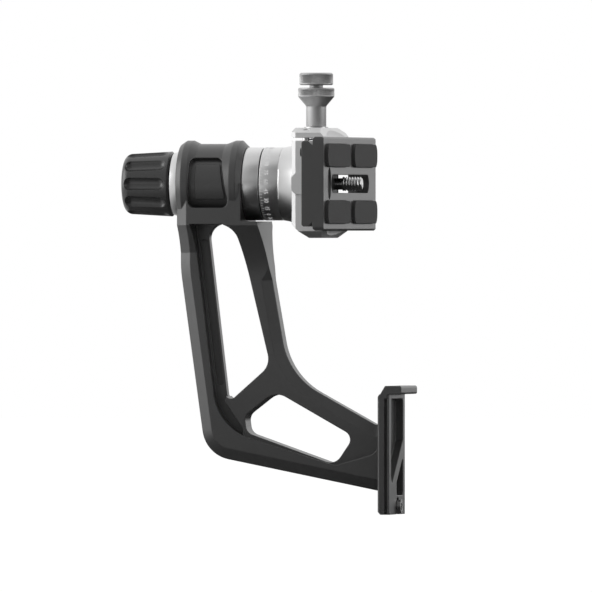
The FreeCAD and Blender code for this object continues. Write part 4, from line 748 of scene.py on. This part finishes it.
# %% Clamp knob
TEETH = 88
TOOTH_DEPTH = 0.3
FADE = 0.35
knob_low, knob_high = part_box("clamp_knob")
STEM_LOW = knob_low.z / MM
KNOB_TOP = knob_high.z / MM
CONE_LOW = STEM_LOW + 9.2
TIER_LOW = STEM_LOW + 13.0
GROOVE_LOW = STEM_LOW + 17.4
GROOVE_HIGH = STEM_LOW + 18.6


def between(along, start, end):
    """1 between start and end, and down to 0 over FADE past them."""
    return np.clip(np.minimum(along - start + FADE, end + FADE - along) / FADE, 0, 1)


def knurl(turn, along):
    """Straight teeth: depth times a triangle wave of the turn, on the two tiers alone."""
    wave = np.abs(2 * np.mod(turn * TEETH / (2 * np.pi), 1) - 1)
    lower_tier = between(along, TIER_LOW + 1.1, GROOVE_LOW - 1.0)
    upper_tier = between(along, GROOVE_HIGH + 1.0, KNOB_TOP - 1.1)
    return TOOTH_DEPTH * wave * (lower_tier + upper_tier)


def clamp_knob():
    """Stem, cone and two knurled tiers in one turned surface."""
    corners = [
        (GROOVE_LOW, 0.0, 0), (GROOVE_LOW, 2.55, 0), (STEM_LOW, 2.55, 0), (STEM_LOW, 4.5, 0.2),
        (CONE_LOW, 4.5, 1.2), (TIER_LOW, 7.7, 0.3), (TIER_LOW + 0.5, 8.1, 0.25),
        (TIER_LOW + 0.7, 8.1, 0), (TIER_LOW + 1.1, 8.1, 0), (GROOVE_LOW - 1.0, 8.1, 0),
        (GROOVE_LOW - 0.65, 8.1, 0), (GROOVE_LOW - 0.35, 8.1, 0.2), (GROOVE_LOW, 7.6, 0.25),
        (GROOVE_LOW, 3.0, 0.2), (GROOVE_HIGH, 3.0, 0.2), (GROOVE_HIGH, 7.0, 0.25),
        (GROOVE_HIGH + 0.45, 7.5, 0.2), (GROOVE_HIGH + 0.65, 7.5, 0), (GROOVE_HIGH + 1.0, 7.5, 0),
        (KNOB_TOP - 1.1, 7.5, 0), (KNOB_TOP - 0.75, 7.5, 0), (KNOB_TOP - 0.6, 7.5, 0.1),
        (KNOB_TOP, 6.9, 0.3), (KNOB_TOP, 0.0, 0),
    ]
    middle = (knob_low + knob_high) / 2 / MM
    profile = rounded_profile(corners, steps=3)
    centre = (middle.x, middle.y)
    piece = lathe("clamp_knob_knurled", profile, TEETH * 6, centre, upright=True, relief=knurl)
    piece.data.materials.append(FINISHES["knurled_aluminium"])
    stands_for(piece, "clamp_knob", "clamp_knob")


clamp_knob()

# %% [markdown]
# The camera screw has the thread of every tripod screw: 20 turns to the inch, 1.27 mm apart.
# A thread is a groove that moves on by one pitch in each turn, so its depth at a place depends
# on the place along the screw less the turn.

# %% Camera screw
PITCH = 1.27
THREAD_R = 3.175
THREAD_DEPTH = 0.6
screw_low, screw_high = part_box("camera_screw")
HEAD_BACK = screw_low.x / MM
TIP = screw_high.x / MM
HEAD_FRONT = HEAD_BACK + 2.4
THREAD_START = TIP - 8.7


def thread(turn, along):
    """Helical groove: a flattened triangle wave of (along / pitch - turn / full turn)."""
    phase = np.mod(along / PITCH - turn / (2 * np.pi), 1)
    groove = np.clip(np.abs(2 * phase - 1) * 1.2 - 0.12, 0, 1)
    runs_in = np.clip((along - THREAD_START) / 1.0, 0, 1) * np.clip((TIP - 0.15 - along) / 0.5, 0, 1)
    return THREAD_DEPTH * groove * runs_in


def camera_screw():
    """Screw with its thread, its neck and a head with a slot for a coin."""
    head = [(HEAD_BACK, 0.0, 0), (HEAD_BACK, 6.5, 0.3), (HEAD_FRONT, 6.5, 0.2), (HEAD_FRONT, 2.6, 0),
            (THREAD_START, 2.6, 0)]
    along = np.linspace(THREAD_START + 0.02, TIP - 0.8, 96)
    flank = np.stack([along, np.full(96, THREAD_R)], axis=-1)
    tip = np.array([
        (TIP - 0.4, THREAD_R - 0.4), (TIP - 0.1, THREAD_R - 0.7), (TIP, THREAD_R - 0.9), (TIP, 0.0),
    ])
    start = rounded_profile(head + [(THREAD_START, 0.0, 0)])[:-1]
    profile = np.concatenate([start, flank, tip])
    middle = (screw_low + screw_high) / 2 / MM
    piece = lathe("camera_screw_threaded", profile, 72, centre=(middle.y, middle.z), relief=thread)
    slot_low = (HEAD_BACK - 1, middle.y - 8, middle.z - 0.75)
    slot_high = (HEAD_BACK + 1.2, middle.y + 8, middle.z + 0.75)
    cutter = flat_box("coin_slot", slot_low, slot_high)
    cut = piece.modifiers.new("coin_slot", "BOOLEAN")
    cut.operation = "DIFFERENCE"
    cut.object = cutter
    depsgraph = bpy.context.evaluated_depsgraph_get()
    slotted = bpy.data.meshes.new_from_object(piece.evaluated_get(depsgraph))
    piece.modifiers.clear()
    piece.data = slotted
    bpy.data.objects.remove(cutter)
    slotted.materials.clear()
    slotted.materials.append(FINISHES["bright_steel"])
    stands_for(piece, "camera_screw", "camera_screw")


def flat_box(name, low, high):
    """Closed box between two corners in millimetres."""
    ranges = list(zip(low, high))
    corners = np.array([(x, y, z) for x in ranges[0] for y in ranges[1] for z in ranges[2]]) * MM
    faces = [(0, 1, 3, 2), (4, 6, 7, 5), (0, 4, 5, 1), (2, 3, 7, 6), (0, 2, 6, 4), (1, 5, 7, 3)]
    return mesh_from(name, corners.tolist(), faces)


camera_screw()
